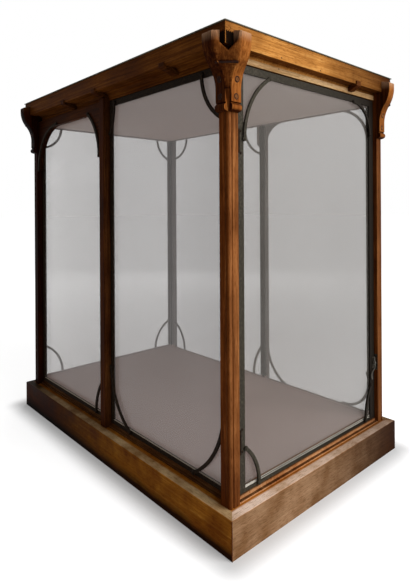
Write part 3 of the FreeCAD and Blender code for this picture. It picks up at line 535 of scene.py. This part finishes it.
# Painted light: greyer and paler than the fixed frames, as the lamp beyond the door end lights it
door_iron = speckled_coat("grey_painted_door_iron", ("#2c2820", "#38332a", "#4c463b"), shine=0.08,
                          far_shade="#6e5c4e")
# A dull grey gleam, brighter where hands have rubbed the high spots
worn_steel = speckled_coat("handled_bare_steel", ("#241f1a", "#3a342c", "#5e574c"), roughness=0.45,
                           shine=0.5, metallic=0.6)
# Brown as the wood round it, darker in the shade
dark_steel = speckled_coat("darkened_screw_steel", ("#522f14", "#6e421e", "#8a582a"), roughness=0.5,
                           shaded="#5c4636")
# Olive-grey, with drifts of pale dust
roof_sheet = speckled_coat("painted_roof_sheet", ("#3b392c", "#454235", "#57533f"), shine=0.2,
                           settled="#857d6c")
print("metals from", painted_iron.name, "to", roof_sheet.name)

# %% [markdown]
# ## Painted lining boards
# The floor and ceiling inside are thin boards brushed with a flat mauve-grey paint, darkened away from the
# door by painted shade. Flat colour would look like plastic, so brush strokes run along the case and
# leave a faint relief, and a broad noise gives the uneven fading of old paint. Real bristle lines are
# finer than a millimetre; they are drawn 4 mm apart, because finer ones would vanish in the picture.

# %% Painted lining boards
STROKE_WIDTH = 4 * MM
STROKE_LENGTH = 220 * MM
STROKE_HEIGHT = 0.15 * MM
STROKE_STRENGTH = 0.4
STROKE_NOISE = {"Scale": 1.0, "Detail": 3.0}
STROKE_SHARE = 0.4
FADE_SIZE = 260 * MM
FADE_NOISE = {"Scale": 1 / FADE_SIZE, "Detail": 4.0}
PAINT_FROM, PAINT_TO = 0.45, 0.95
AWAY_SHADE_FROM, AWAY_SHADE_TO = 0.2, 0.9


def brushed_paint(name, dark, pale, away_shade):
    material, tree, skin = new_finish(name, Roughness=0.9, IOR=1.45)
    place = add(tree, "TexCoord").outputs["Object"]
    strokes = streaks(tree, place, "X", STROKE_LENGTH, STROKE_WIDTH, STROKE_NOISE)
    fade = add(tree, "TexNoise", {"Vector": place, **FADE_NOISE})
    shade = add(tree, "Math", {0: strokes, 1: STROKE_SHARE, 2: fade.outputs["Fac"]},
                operation="MULTIPLY_ADD")
    shade = add(tree, "ValToRGB", {"Fac": shade.outputs[0]})
    colour = set_ramp(shade, (PAINT_FROM, dark), (PAINT_TO, pale))
    along = add(tree, "SeparateXYZ", {0: place}).outputs["X"]
    along = add(tree, "MapRange", {"Value": along, "From Min": cad_box[0][0], "From Max": cad_box[1][0]})
    along = add(tree, "ValToRGB", {"Fac": along.outputs["Result"]})
    # Painted shade: darker away from the door
    away_shade_ramp = set_ramp(along, (AWAY_SHADE_FROM, away_shade), (AWAY_SHADE_TO, WHITE))
    tree.links.new(darkened(tree, colour, [away_shade_ramp]), skin.inputs["Base Color"])
    bump = add(tree, "Bump", {"Height": strokes, "Strength": STROKE_STRENGTH, "Distance": STROKE_HEIGHT})
    tree.links.new(bump.outputs["Normal"], skin.inputs["Normal"])
    return material


# Flat mauve-grey without any shine
floor_lining = brushed_paint("mauve_grey_floor_paint", "#b49a92", "#c3aaa2", "#d6d0cc")
# Painted light: the lining paint made nearly white, so it still looks mauve-grey facing the floor in shade
ceiling_lining = brushed_paint("paler_ceiling_paint", "#f4e2da", "#faece6", "#fff6f2")
print("brush strokes", STROKE_WIDTH, "m apart")

# %% [markdown]
# ## Dusty old glass
# The panes are old sheet glass with a film of dust, so what is behind them looks grey. Clear glass with
# refraction would shut out the lamps and leave the inside dark. Instead the pane is a thin grey film that
# lets most light straight through: its alpha falls a little towards the top and more towards the far end,
# and a noise makes the dust uneven. The door's pane has been wiped, so its film is thinner; its colour is
# darker, as painted shade against the lamp that lights it.

# %% Dusty old glass
DUST_PATCH = 220 * MM
DUST_NOISE = {"Scale": 1 / DUST_PATCH, "Detail": 5.0}
FILM_FOOT = 0.345
FILM_HEAD = 0.3
FILM_FAR_LESS = 0.12
FILM_UNEVEN = 0.02
FILM_STOPS = (0.3, 0.7)
DOOR_WIPED = 0.09
pane_low, pane_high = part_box("door_glass")


def dusty_glass(name, film, wiped=0.0):
    material, tree, skin = new_finish(name, IOR=1.5, Roughness=0.06)
    place = add(tree, "TexCoord").outputs["Object"]
    spot = add(tree, "SeparateXYZ", {0: place}).outputs
    veil = add(tree, "MapRange", {"Value": spot["Z"], "From Min": pane_low.z, "From Max": pane_high.z,
                                  "To Min": FILM_FOOT - wiped, "To Max": FILM_HEAD - wiped})
    far = add(tree, "MapRange", {"Value": spot["X"], "From Min": cad_box[0][0], "From Max": 0.0,
                                 "To Min": -FILM_FAR_LESS, "To Max": 0.0})
    dust = add(tree, "TexNoise", {"Vector": place, **DUST_NOISE}).outputs["Fac"]
    uneven = add(tree, "MapRange", {"Value": dust, "To Min": -FILM_UNEVEN, "To Max": FILM_UNEVEN})
    alpha = veil.outputs["Result"]
    for change in (far, uneven):
        alpha = add(tree, "Math", {0: alpha, 1: change.outputs["Result"]}, operation="ADD").outputs[0]
    tree.links.new(alpha, skin.inputs["Alpha"])
    colour = set_ramp(add(tree, "ValToRGB", {"Fac": dust}), *zip(FILM_STOPS, film))
    tree.links.new(colour, skin.inputs["Base Color"])
    return material


# A pale veil over what stands behind
pane_glass = dusty_glass("dusty_sheet_glass", ("#c2bcb9", "#cec8c5"))
# A thinner veil, darker in colour as painted shade against the door-end lamp
door_glass = dusty_glass("wiped_door_glass", ("#757069", "#807b74"), DOOR_WIPED)
print("film alpha from", FILM_FOOT, "to", FILM_HEAD)

# %% [markdown]
# ## Which finish goes where
# On the real case every piece shows what it was made of, and here each node's name and slot say it. A
# finish could be picked by hand for every node; tables by slot and by the first word of the name are
# shorter, with a few nodes named on their own. The longest side of a wooden piece says which way its
# grain runs.

# %% Which finish goes where
SLOT_FINISH = {"lining_board": floor_lining, "pane_glass": pane_glass, "frame_iron": painted_iron,
               "fitting_steel": worn_steel, "screw_steel": dark_steel, "roof_sheet": roof_sheet}
NODE_FINISH = {"ceiling_lining": ceiling_lining, "door_glass": door_glass,
               **dict.fromkeys(("door_frame", "door_braces", "door_rivets"), door_iron),
               **dict.fromkeys(("hinge_post_leaves", "hinge_door_leaves", "hinge_pins"), painted_iron),
               **dict.fromkeys(("frame_front_left", "frame_front_right"), front_iron),
               **dict.fromkeys(("frame_back_left", "frame_back_right", "frame_left"), far_iron)}
WOOD_BY_WORD = {"plinth": "plinth_oak", "fascia": "cornice_oak", "cornice": "cornice_oak",
                "head": "bare_rail_oak", "apron": "shaded_cornice_oak", "sill": "rubbed_sill_oak",
                "bracket": "carved_bracket_oak"}
WOOD_BY_NODE = {"plinth_beam_right": "lit_side_plinth_oak", "cornice_blocks": "shaded_cornice_oak"}


def grain_axis(node):
    low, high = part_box(node)
    spans = list(high - low)
    return "XYZ"[spans.index(max(spans))]


def wood_kind(node):
    return WOOD_BY_NODE.get(node) or WOOD_BY_WORD.get(node.split("_")[0], "waxed_post_oak")


slot_of = {piece["node"]: piece["material_slot"] for piece in frame["record"]["subparts"]}
wooden = [name for name in nodes if slot_of[name] not in SLOT_FINISH]
for name, piece in nodes.items():
    if name in wooden:
        finish = wood_finish(wood_kind(name), grain_axis(name))
    else:
        finish = NODE_FINISH.get(name) or SLOT_FINISH[slot_of[name]]
    piece.data.materials.clear()
    piece.data.materials.append(finish)
print("wooden nodes:", len(wooden), "other nodes:", len(nodes) - len(wooden))

# %% [markdown]
# ## Softened edges
# Planed wood never has a knife edge after years of dusting. The edges could be rounded in the CAD model,
# but modifiers leave the CAD mesh itself as it is and can be changed at any time. A Weld joins the CAD
# faces again, a Decimate makes one face of each flat, and a small Bevel rounds every sharp edge.

# %% Softened edges
WOOD_EDGE = 1.2 * MM
MITRE_EDGE = 0.4 * MM
EDGE_SEGMENTS = 2
WELD_GAP = 0.01 * MM
SHARP_ANGLE = math.radians(35)
FLAT_ANGLE = math.radians(0.5)


def soften(piece, width):
    weld = piece.modifiers.new("join_faces", "WELD")
    weld.merge_threshold = WELD_GAP
    flat = piece.modifiers.new("join_flats", "DECIMATE")
    flat.decimate_type = "DISSOLVE"
    flat.angle_limit = FLAT_ANGLE
    bevel = piece.modifiers.new("soft_edges", "BEVEL")
    bevel.width = width
    bevel.segments = EDGE_SEGMENTS
    bevel.limit_method = "ANGLE"
    bevel.angle_limit = SHARP_ANGLE
    bevel.use_clamp_overlap = True


for name in wooden:
    soften(nodes[name], MITRE_EDGE if name.startswith("plinth") else WOOD_EDGE)
print("softened", len(wooden), "wooden pieces")

# %% [markdown]
# ## Swept pieces
# The small things below, rings and strips of painted shade, joint lines, putty, tape and rivet heads, are
# each one outline carried along a line. They could be curves with a bevel, but then their outline could
# not change on the way. One function joins the outlines to a closed mesh, and one makes the mesh ride on
# its body.

# %% Swept pieces
def sweep(outlines, loop=False):
    count, size = len(outlines), len(outlines[0])
    faces = []
    for row in range(count if loop else count - 1):
        here, there = row * size, (row + 1) % count * size
        faces += [(here + i, here + (i + 1) % size, there + (i + 1) % size, there + i) for i in range(size)]
    if not loop:
        faces += [tuple(range(size))[::-1], tuple(range((count - 1) * size, count * size))]
    return [point for outline in outlines for point in outline], faces


def add_piece(name, swept, finish, body):
    mesh = bpy.data.meshes.new(name)
    points, faces = [], []
    for some_points, some_faces in swept:
        faces += [tuple(len(points) + i for i in face) for face in some_faces]
        points += some_points
    mesh.from_pydata(points, [], faces)
    mesh.materials.append(finish)
    piece = put_in_scene(name, mesh)
    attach(piece, body)
    print(name, "has", len(points), "points and rides on", body)


print("a box swept from two squares has", len(sweep([range(4), range(4)])[1]), "faces")

# %% [markdown]
# ## Painted shade round the screws
# A dark ring round every screw head on the brackets paints the shade in the crease of its countersink. A
# flat ring would float over the carving or sink into it. So each ring is draped: rays are cast onto the
# carved face in two circles round the screw, and the ring is laid on what they hit.

# %% Painted shade round the screws
SCREW_RISES = (33 * MM, 70 * MM)
RING_INSIDE = 5.2 * MM
RING_OUTSIDE = 7.0 * MM
RING_LIFT = 0.25 * MM
RING_STEPS = 24
RAY_REACH = 0.2
UP = Vector((0, 0, 1))
BRACKET_CORNERS = {"front_right": (1, -1), "back_right": (1, 1), "front_left": (-1, -1)}
# Nearly black and dull: painted shade round the screws and in the scribed line, and the dark nail heads
shade_and_nail_coat = speckled_coat("painted_shade_and_dark_nail_coat", ("#180b05", "#241009", "#361a0e"), shine=0.1)


def hit_place(surface, place, out):
    return surface.ray_cast(place + out * RAY_REACH, -out)[0]


def crease_shade_ring(surface, centre, out):
    across = UP.cross(out)
    outlines = []
    for step in range(RING_STEPS):
        turn = math.tau * step / RING_STEPS
        way = across * math.cos(turn) + UP * math.sin(turn)
        inner, outer = [hit_place(surface, centre + way * r, out) for r in (RING_INSIDE, RING_OUTSIDE)]
        lift = out * RING_LIFT
        outlines.append([inner - lift, inner + lift, outer + lift, outer - lift])
    return sweep(outlines, loop=True)


carved, post_axes, rings = {}, {}, []
for corner, (sign_x, sign_y) in BRACKET_CORNERS.items():
    low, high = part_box("post_" + corner)
    post_axes[corner] = (low + high) / 2
    carved[corner] = BVHTree.FromObject(nodes["bracket_" + corner], bpy.context.evaluated_depsgraph_get())
    for out in (Vector((sign_x, 0, 0)), Vector((0, sign_y, 0))):
        for rise in SCREW_RISES:
            centre = post_axes[corner].copy()
            centre.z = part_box("bracket_" + corner)[0].z + rise
            rings.append(crease_shade_ring(carved[corner], centre, out))
add_piece("screw_crease_shade_rings", rings, shade_and_nail_coat, "case")

# %% [markdown]
# ## Painted shade in the scribed line
# A dark strip in the line scribed across the web of each bracket paints the shade of the groove. The
# groove's length could be typed in; instead rays find how far it runs, so the strip always fits the carving.

# %% Painted shade in the scribed line
SCRIBE_DROP = 38 * MM
SCRIBE_HALF_HEIGHT = 2.3 * MM
SCRIBE_HALF_LENGTH = 40 * MM
SCRIBE_STEP = 0.5 * MM
SCRIBE_FLAT = 0.8 * MM
SCRIBE_FILL = 2.6 * MM
SCRIBE_PAST_STEPS = 3


def scribe_shade_strip(surface, centre, out):
    across = UP.cross(out)
    middle = hit_place(surface, centre, out)
    count = round(SCRIBE_HALF_LENGTH / SCRIBE_STEP)
    reached = []
    for step in range(-count, count + 1):
        # The floor of the groove is flat, and what lies beside it is not
        hit = hit_place(surface, centre + across * step * SCRIBE_STEP, out)
        if hit and abs((hit - middle).dot(out)) < SCRIBE_FLAT:
            reached.append(step)
    outlines = []
    depth = out * SCRIBE_FILL
    for step in range(min(reached) - SCRIBE_PAST_STEPS, max(reached) + SCRIBE_PAST_STEPS + 1):
        place = middle + across * step * SCRIBE_STEP
        low, high = place - UP * SCRIBE_HALF_HEIGHT, place + UP * SCRIBE_HALF_HEIGHT
        outlines.append([low - depth, low + depth, high + depth, high - depth])
    print("scribe wax is", round(len(outlines) * SCRIBE_STEP / MM, 1), "mm long")
    return sweep(outlines)


scribe_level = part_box("fascia_right")[0].z - SCRIBE_DROP
fills = []
for corner, signs in BRACKET_CORNERS.items():
    centre = post_axes[corner].copy()
    centre.z = scribe_level
    fills.append(scribe_shade_strip(carved[corner], centre, Vector((*signs, 0)).normalized()))
add_piece("scribe_painted_shade", fills, shade_and_nail_coat, "case")

# %% [markdown]
# ## Painted shade behind the horns
# The corner of the fascia behind the two horns of a bracket lies in their shade. A thin black sheet on the
# fascia paints that shade, and leaves out only the sharp corner itself, where light catches it. It could be
# a dark patch in the wood's finish; a thin sheet with an uneven top keeps its edge sharp.

# %% Painted shade behind the horns
SHADE_SHEET_STEPS = 12
SHADE_CLEAR_OF_ARRIS = 2.2 * MM
SHADE_SHEET_REACH = 26 * MM
SHADE_SHEET_HEIGHT = 29 * MM
SHADE_SHEET_PROUD = 0.3 * MM
SHADE_EDGE_UNEVEN = 0.06
SHADE_EDGE_WAVE = 2.1
# Black without any shine
horn_shade_coat = speckled_coat("painted_shade_behind_horns", ("#0c0603", "#140a05", "#20120a"), roughness=0.8, shine=0.02)


def horn_shade_sheet(corner, along, out):
    outlines = []
    proud = out * SHADE_SHEET_PROUD
    for step in range(SHADE_SHEET_STEPS + 1):
        place = corner + along * (SHADE_CLEAR_OF_ARRIS + (SHADE_SHEET_REACH - SHADE_CLEAR_OF_ARRIS) * step / SHADE_SHEET_STEPS)
        top = UP * SHADE_SHEET_HEIGHT * (1 - SHADE_EDGE_UNEVEN + SHADE_EDGE_UNEVEN * math.sin(SHADE_EDGE_WAVE * step))
        outlines.append([place, place + proud, place + proud + top, place + top])
    return sweep(outlines)


horn_shade_sheets = []
case_half_x, case_half_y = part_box("fascia_right")[1].x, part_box("fascia_back")[1].y
for sign_x, sign_y in BRACKET_CORNERS.values():
    corner = Vector((sign_x * case_half_x, sign_y * case_half_y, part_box("fascia_right")[0].z))
    to_end, to_side = Vector((sign_x, 0, 0)), Vector((0, sign_y, 0))
    horn_shade_sheets += [horn_shade_sheet(corner, -to_end, to_side), horn_shade_sheet(corner, -to_side, to_end)]
add_piece("horn_painted_shade", horn_shade_sheets, horn_shade_coat, "case")

# %% [markdown]
# ## Joint lines of the plinth
# Old glue and wax darken the mitre at each corner of the plinth. A drawn line would be too even, so the
# width of each strip wavers a little, as hand work does: a slow wave and a quicker one are added.

# %% Joint lines of the plinth
LINE_WIDTH = 1.2 * MM
LINE_PROUD = 0.2 * MM
LINE_STEPS = 14
WAVER = 0.25
SLOW_WAVE, QUICK_WAVE = 0.9, 2.3
QUICK_START = 1
# A dark red edge, as hide glue has when it ages
joint_glue = speckled_coat("reddened_joint_glue", ("#2e0f06", "#44190b", "#5c2812"))


def waver(place):
    return 1 + WAVER * (math.sin(SLOW_WAVE * place) + math.sin(QUICK_WAVE * place + QUICK_START)) / 2


def joint_line(x, y, top):
    sign_x, sign_y = math.copysign(1, x), math.copysign(1, y)
    outlines = []
    for step in range(LINE_STEPS + 1):
        width = LINE_WIDTH * waver(step)
        legs = ((-width, 0), (-width, LINE_PROUD), (LINE_PROUD, LINE_PROUD), (LINE_PROUD, -width),
                (0, -width), (0, 0))
        outlines.append([Vector((x + sign_x * a, y + sign_y * b, top * step / LINE_STEPS)) for a, b in legs])
    return sweep(outlines)


line_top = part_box("plinth_beam_right")[1].z - LINE_WIDTH
lines = [joint_line(x, y, line_top) for x in (-PLINTH_HALF_X, PLINTH_HALF_X)
         for y in (-PLINTH_HALF_Y, PLINTH_HALF_Y)]
add_piece("plinth_joint_lines", lines, joint_glue, "case")

# %% [markdown]
# ## Door putty
# Along the foot of the door pane lies a bead of dried putty, wiped into two thin lines and left thick and
# pale in the hinge corner. A straight bar would look moulded. Each line is one hollow wedge, the shape
# that a thumb leaves, and its height wavers like the joint lines.

# %% Door putty
DOOR_STILE = 24 * MM
DOOR_FOOT_BAR = 7 * MM
PUTTY_DEPTH = 0.9 * MM
PUTTY_STEPS = 90
PUTTY_WAVE = 0.2
# Where each line starts above the bar, its height, and its share of the pane's width
PUTTY_LINES = ((0, 0.8 * MM, 1.0), (4.6 * MM, 0.6 * MM, 1.0), (0.8 * MM, 4.2 * MM, 0.09))
# The wedge in shares of its depth and height
PUTTY_WEDGE = ((0, 0), (1, 0), (0.9, 0.2), (0.4, 0.5), (0.15, 1), (0, 1))
# Chalky and pale
old_putty = speckled_coat("dried_glazing_putty", ("#b4ada0", "#c6bfb2", "#d6d0c4"), roughness=0.8, shine=0.1)
frame_low, frame_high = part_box("door_frame")


def putty_line(start, height, share):
    outlines = []
    reach = (frame_high.y - frame_low.y - 2 * DOOR_STILE) * share
    foot = frame_low.z + DOOR_FOOT_BAR + start
    for step in range(PUTTY_STEPS + 1):
        y = frame_low.y + DOOR_STILE + reach * step / PUTTY_STEPS
        tall = height * waver(PUTTY_WAVE * step)
        wedge = [(pane_high.x + a * PUTTY_DEPTH, y, foot + b * tall) for a, b in PUTTY_WEDGE]
        outlines.append([Vector(point) for point in wedge])
    return sweep(outlines)


add_piece("door_foot_putty", [putty_line(*line) for line in PUTTY_LINES], old_putty, "door")

# %% [markdown]
# ## Tape along the lining
# The lining board stops short of the iron frames. A paper tape closes that joint and was painted with the
# board, so the lining seems to run on to the panes. The door end has no tape, because the door moves
# there. A wider board would do it too, but could not be fitted between the frames. Each tape is a thin
# strip whose inner edge wavers a little, as a torn edge does.

# %% Tape along the lining
TAPE_OVERLAP = 4 * MM
TAPE_THICKNESS = 0.6 * MM
TAPE_CLEAR = 0.3 * MM
TAPE_TEAR = 0.6 * MM
TAPE_STEPS = 60


def tape(start, end, inward, width):
    outlines = []
    rise = UP * TAPE_THICKNESS
    for step in range(TAPE_STEPS + 1):
        outer = start.lerp(end, step / TAPE_STEPS)
        inner = outer + inward * (width + TAPE_TEAR * waver(step))
        outlines.append([outer, inner, inner + rise, outer + rise])
    return sweep(outlines)


board_low, board_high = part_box("floor_lining")
side_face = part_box("frame_back_left")[0].y - TAPE_CLEAR
end_face = -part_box("frame_left")[1].x - TAPE_CLEAR
tapes = []
for side in (-1, 1):
    start, end = [Vector((x, side * side_face, board_high.z)) for x in (-end_face, board_high.x)]
    tapes.append(tape(start, end, Vector((0, -side, 0)), side_face - board_high.y + TAPE_OVERLAP))
start, end = [Vector((-end_face, y, board_high.z + TAPE_THICKNESS)) for y in (-side_face, side_face)]
tapes.append(tape(start, end, Vector((1, 0, 0)), end_face + board_low.x + TAPE_OVERLAP))
add_piece("lining_tapes", tapes, floor_lining, "case")

# %% [markdown]
# ## Hinge rivets and nails
# Each hinge leaf is riveted through the door's stile, and two low heads show beside each hinge. Three
# nails hold the boards over the door; their heads are flat and dark. A squashed ball would do, but half
# of it would lie inside the iron; so all are low domes, made as rings that grow smaller.

# %% Hinge rivets and nails
HEAD_STEPS = 16
HEAD_RINGS = 5
HEAD_FLAT_SHARE = 0.3
RIVET_RADIUS, RIVET_HEIGHT = 3.2 * MM, 1.4 * MM
RIVET_SPREAD = 25 * MM
RIVET_PLACE_SHARE = 0.6
HINGE_HALF_LENGTH = 25 * MM
NAIL_RADIUS, NAIL_HEIGHT = 1.9 * MM, 0.5 * MM
BOARD_NAILS = {"fascia_right": ((-172 * MM, 1106 * MM), (-14 * MM, 1105 * MM)),
               "head_rail_right": ((-151 * MM, 1089 * MM),)}


def low_dome(place, radius, height):
    outlines = []
    turns = [math.tau * step / HEAD_STEPS for step in range(HEAD_STEPS)]
    for ring in range(HEAD_RINGS + 1):
        slope = math.pi / 2 * ring / (HEAD_RINGS + HEAD_FLAT_SHARE)
        wide, out = radius * math.cos(slope), height * math.sin(slope)
        outlines.append([place + Vector((out, wide * math.cos(t), wide * math.sin(t))) for t in turns])
    return sweep(outlines)


leaf_low, leaf_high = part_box("hinge_door_leaves")
rivet_y = frame_low.y + DOOR_STILE * RIVET_PLACE_SHARE
heads = []
for hinge_level in (leaf_low.z + HINGE_HALF_LENGTH, leaf_high.z - HINGE_HALF_LENGTH):
    for rise in (-RIVET_SPREAD, RIVET_SPREAD):
        place = Vector((frame_high.x, rivet_y, hinge_level + rise))
        heads.append(low_dome(place, RIVET_RADIUS, RIVET_HEIGHT))
add_piece("hinge_rivets", heads, painted_iron, "door")

nails = []
for board, places in BOARD_NAILS.items():
    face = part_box(board)[1].x
    nails += [low_dome(Vector((face, y, z)), NAIL_RADIUS, NAIL_HEIGHT) for y, z in places]
add_piece("board_nails", nails, shade_and_nail_coat, "case")

# %% [markdown]
# ## Floor
# The photograph was cut out on white with a soft shadow round the plinth. A pale floor catches that
# shadow. A brighter lamp could turn the floor white, but it would light the case too; so the floor glows
# for the eye only and joins the white background. Beside the plinth it glows less, a painted shadow added
# to the lamps' own.

# %% Floor
FLOOR_REACH = 40.0
NEAR_GLOW = 0.2
FAR_GLOW = 0.88
GLOW_SPREAD = 0.085
LIT_GLOW = 0.6
LIT_PLACE = (-0.7, 1.4, 0)
LIT_REACH = 3.2
ABOVE_FLOOR = 1.0


def seen_by_eye(tree):
    rays = add(tree, "LightPath").outputs
    seen = add(tree, "Math", {0: rays["Is Camera Ray"], 1: rays["Is Transmission Ray"]}, operation="MAXIMUM")
    return add(tree, "Math", {0: seen.outputs[0], 1: rays["Is Glossy Ray"]}, operation="MAXIMUM").outputs[0]


floor_mesh = bpy.data.meshes.new("studio_floor")
corners = [(x * FLOOR_REACH, y * FLOOR_REACH, 0) for x, y in ((-1, -1), (1, -1), (1, 1), (-1, 1))]
floor_mesh.from_pydata(corners, [], [(0, 1, 2, 3)])
floor = put_in_scene("studio_floor", floor_mesh)
# Matt pale grey paper, which shows a shadow without a mirror image
paper, tree, skin = new_finish("pale_studio_paper", Roughness=0.9, Specular_IOR_Level=0.0,
                               Base_Color=linear("#cccccc"), Emission_Color=linear(WHITE))
place = add(tree, "TexCoord").outputs["Object"]
# How far a place on the floor is from the plinth's outline
half_plinth = (PLINTH_HALF_X, PLINTH_HALF_Y, ABOVE_FLOOR)
away = add(tree, "VectorMath", {0: place}, operation="ABSOLUTE")
away = add(tree, "VectorMath", {0: away.outputs[0], 1: half_plinth}, operation="SUBTRACT")
away = add(tree, "VectorMath", {0: away.outputs[0], 1: (0, 0, 0)}, operation="MAXIMUM")
away = add(tree, "VectorMath", {0: away.outputs[0]}, operation="LENGTH")
# The lamps already light the floor behind the case, so it glows less there
behind = add(tree, "VectorMath", {0: place, 1: LIT_PLACE}, operation="DISTANCE")
behind = add(tree, "MapRange", {"Value": behind.outputs["Value"], "From Max": LIT_REACH, "To Min": LIT_GLOW,
                                "To Max": FAR_GLOW}, interpolation_type="SMOOTHSTEP")
# Painted shadow: the glow is weakest along the plinth's outline
spread = add(tree, "MapRange", {"Value": away.outputs["Value"], "From Max": GLOW_SPREAD, "To Min": NEAR_GLOW,
                                "To Max": behind.outputs["Result"]}, interpolation_type="SMOOTHSTEP")
glow = add(tree, "Math", {0: seen_by_eye(tree), 1: spread.outputs["Result"]}, operation="MULTIPLY")
tree.links.new(glow.outputs[0], skin.inputs["Emission Strength"])
floor.data.materials.append(paper)
print("floor glows from", NEAR_GLOW, "at the plinth to", FAR_GLOW)

# %% [markdown]
# ## Background and lamps
# The background is white for the eye and a weak even light for everything else. One strong lamp could do
# the rest, with hard shadows that the photograph doesn't have. The main light is a large soft lamp beyond
# the door end, the front stays in its own shade, and a weaker lamp behind the case keeps the back and the
# far end from going black.

# %% Background and lamps
SKY_LIGHT = 0.22
LAMPS = {"door_end_lamp": (Vector((3.2, 0.7, 2.3)), 2.8, 125),
         "back_lamp": (Vector((-2.6, 2.4, 2.0)), 2.4, 40)}
AIM = Vector((0, 0, 0.6))

world = bpy.data.worlds.new("white_studio")
world.use_nodes = True
sky = world.node_tree.nodes["Background"]
sky.inputs["Color"].default_value = linear(WHITE)
brightness = add(world.node_tree, "MapRange", {"Value": seen_by_eye(world.node_tree), "To Min": SKY_LIGHT,
                                               "To Max": 1.0})
world.node_tree.links.new(brightness.outputs["Result"], sky.inputs["Strength"])
bpy.context.scene.world = world

for name, (place, size, power) in LAMPS.items():
    lamp_data = bpy.data.lights.new(name, "AREA")
    lamp_data.energy = power
    lamp_data.size = size
    lamp = put_in_scene(name, lamp_data)
    lamp.location = place
    lamp.rotation_euler = (AIM - place).to_track_quat("-Z", "Y").to_euler()
    print(name, power, "W at", tuple(place))
bpy.context.scene.view_settings.view_transform = "Standard"
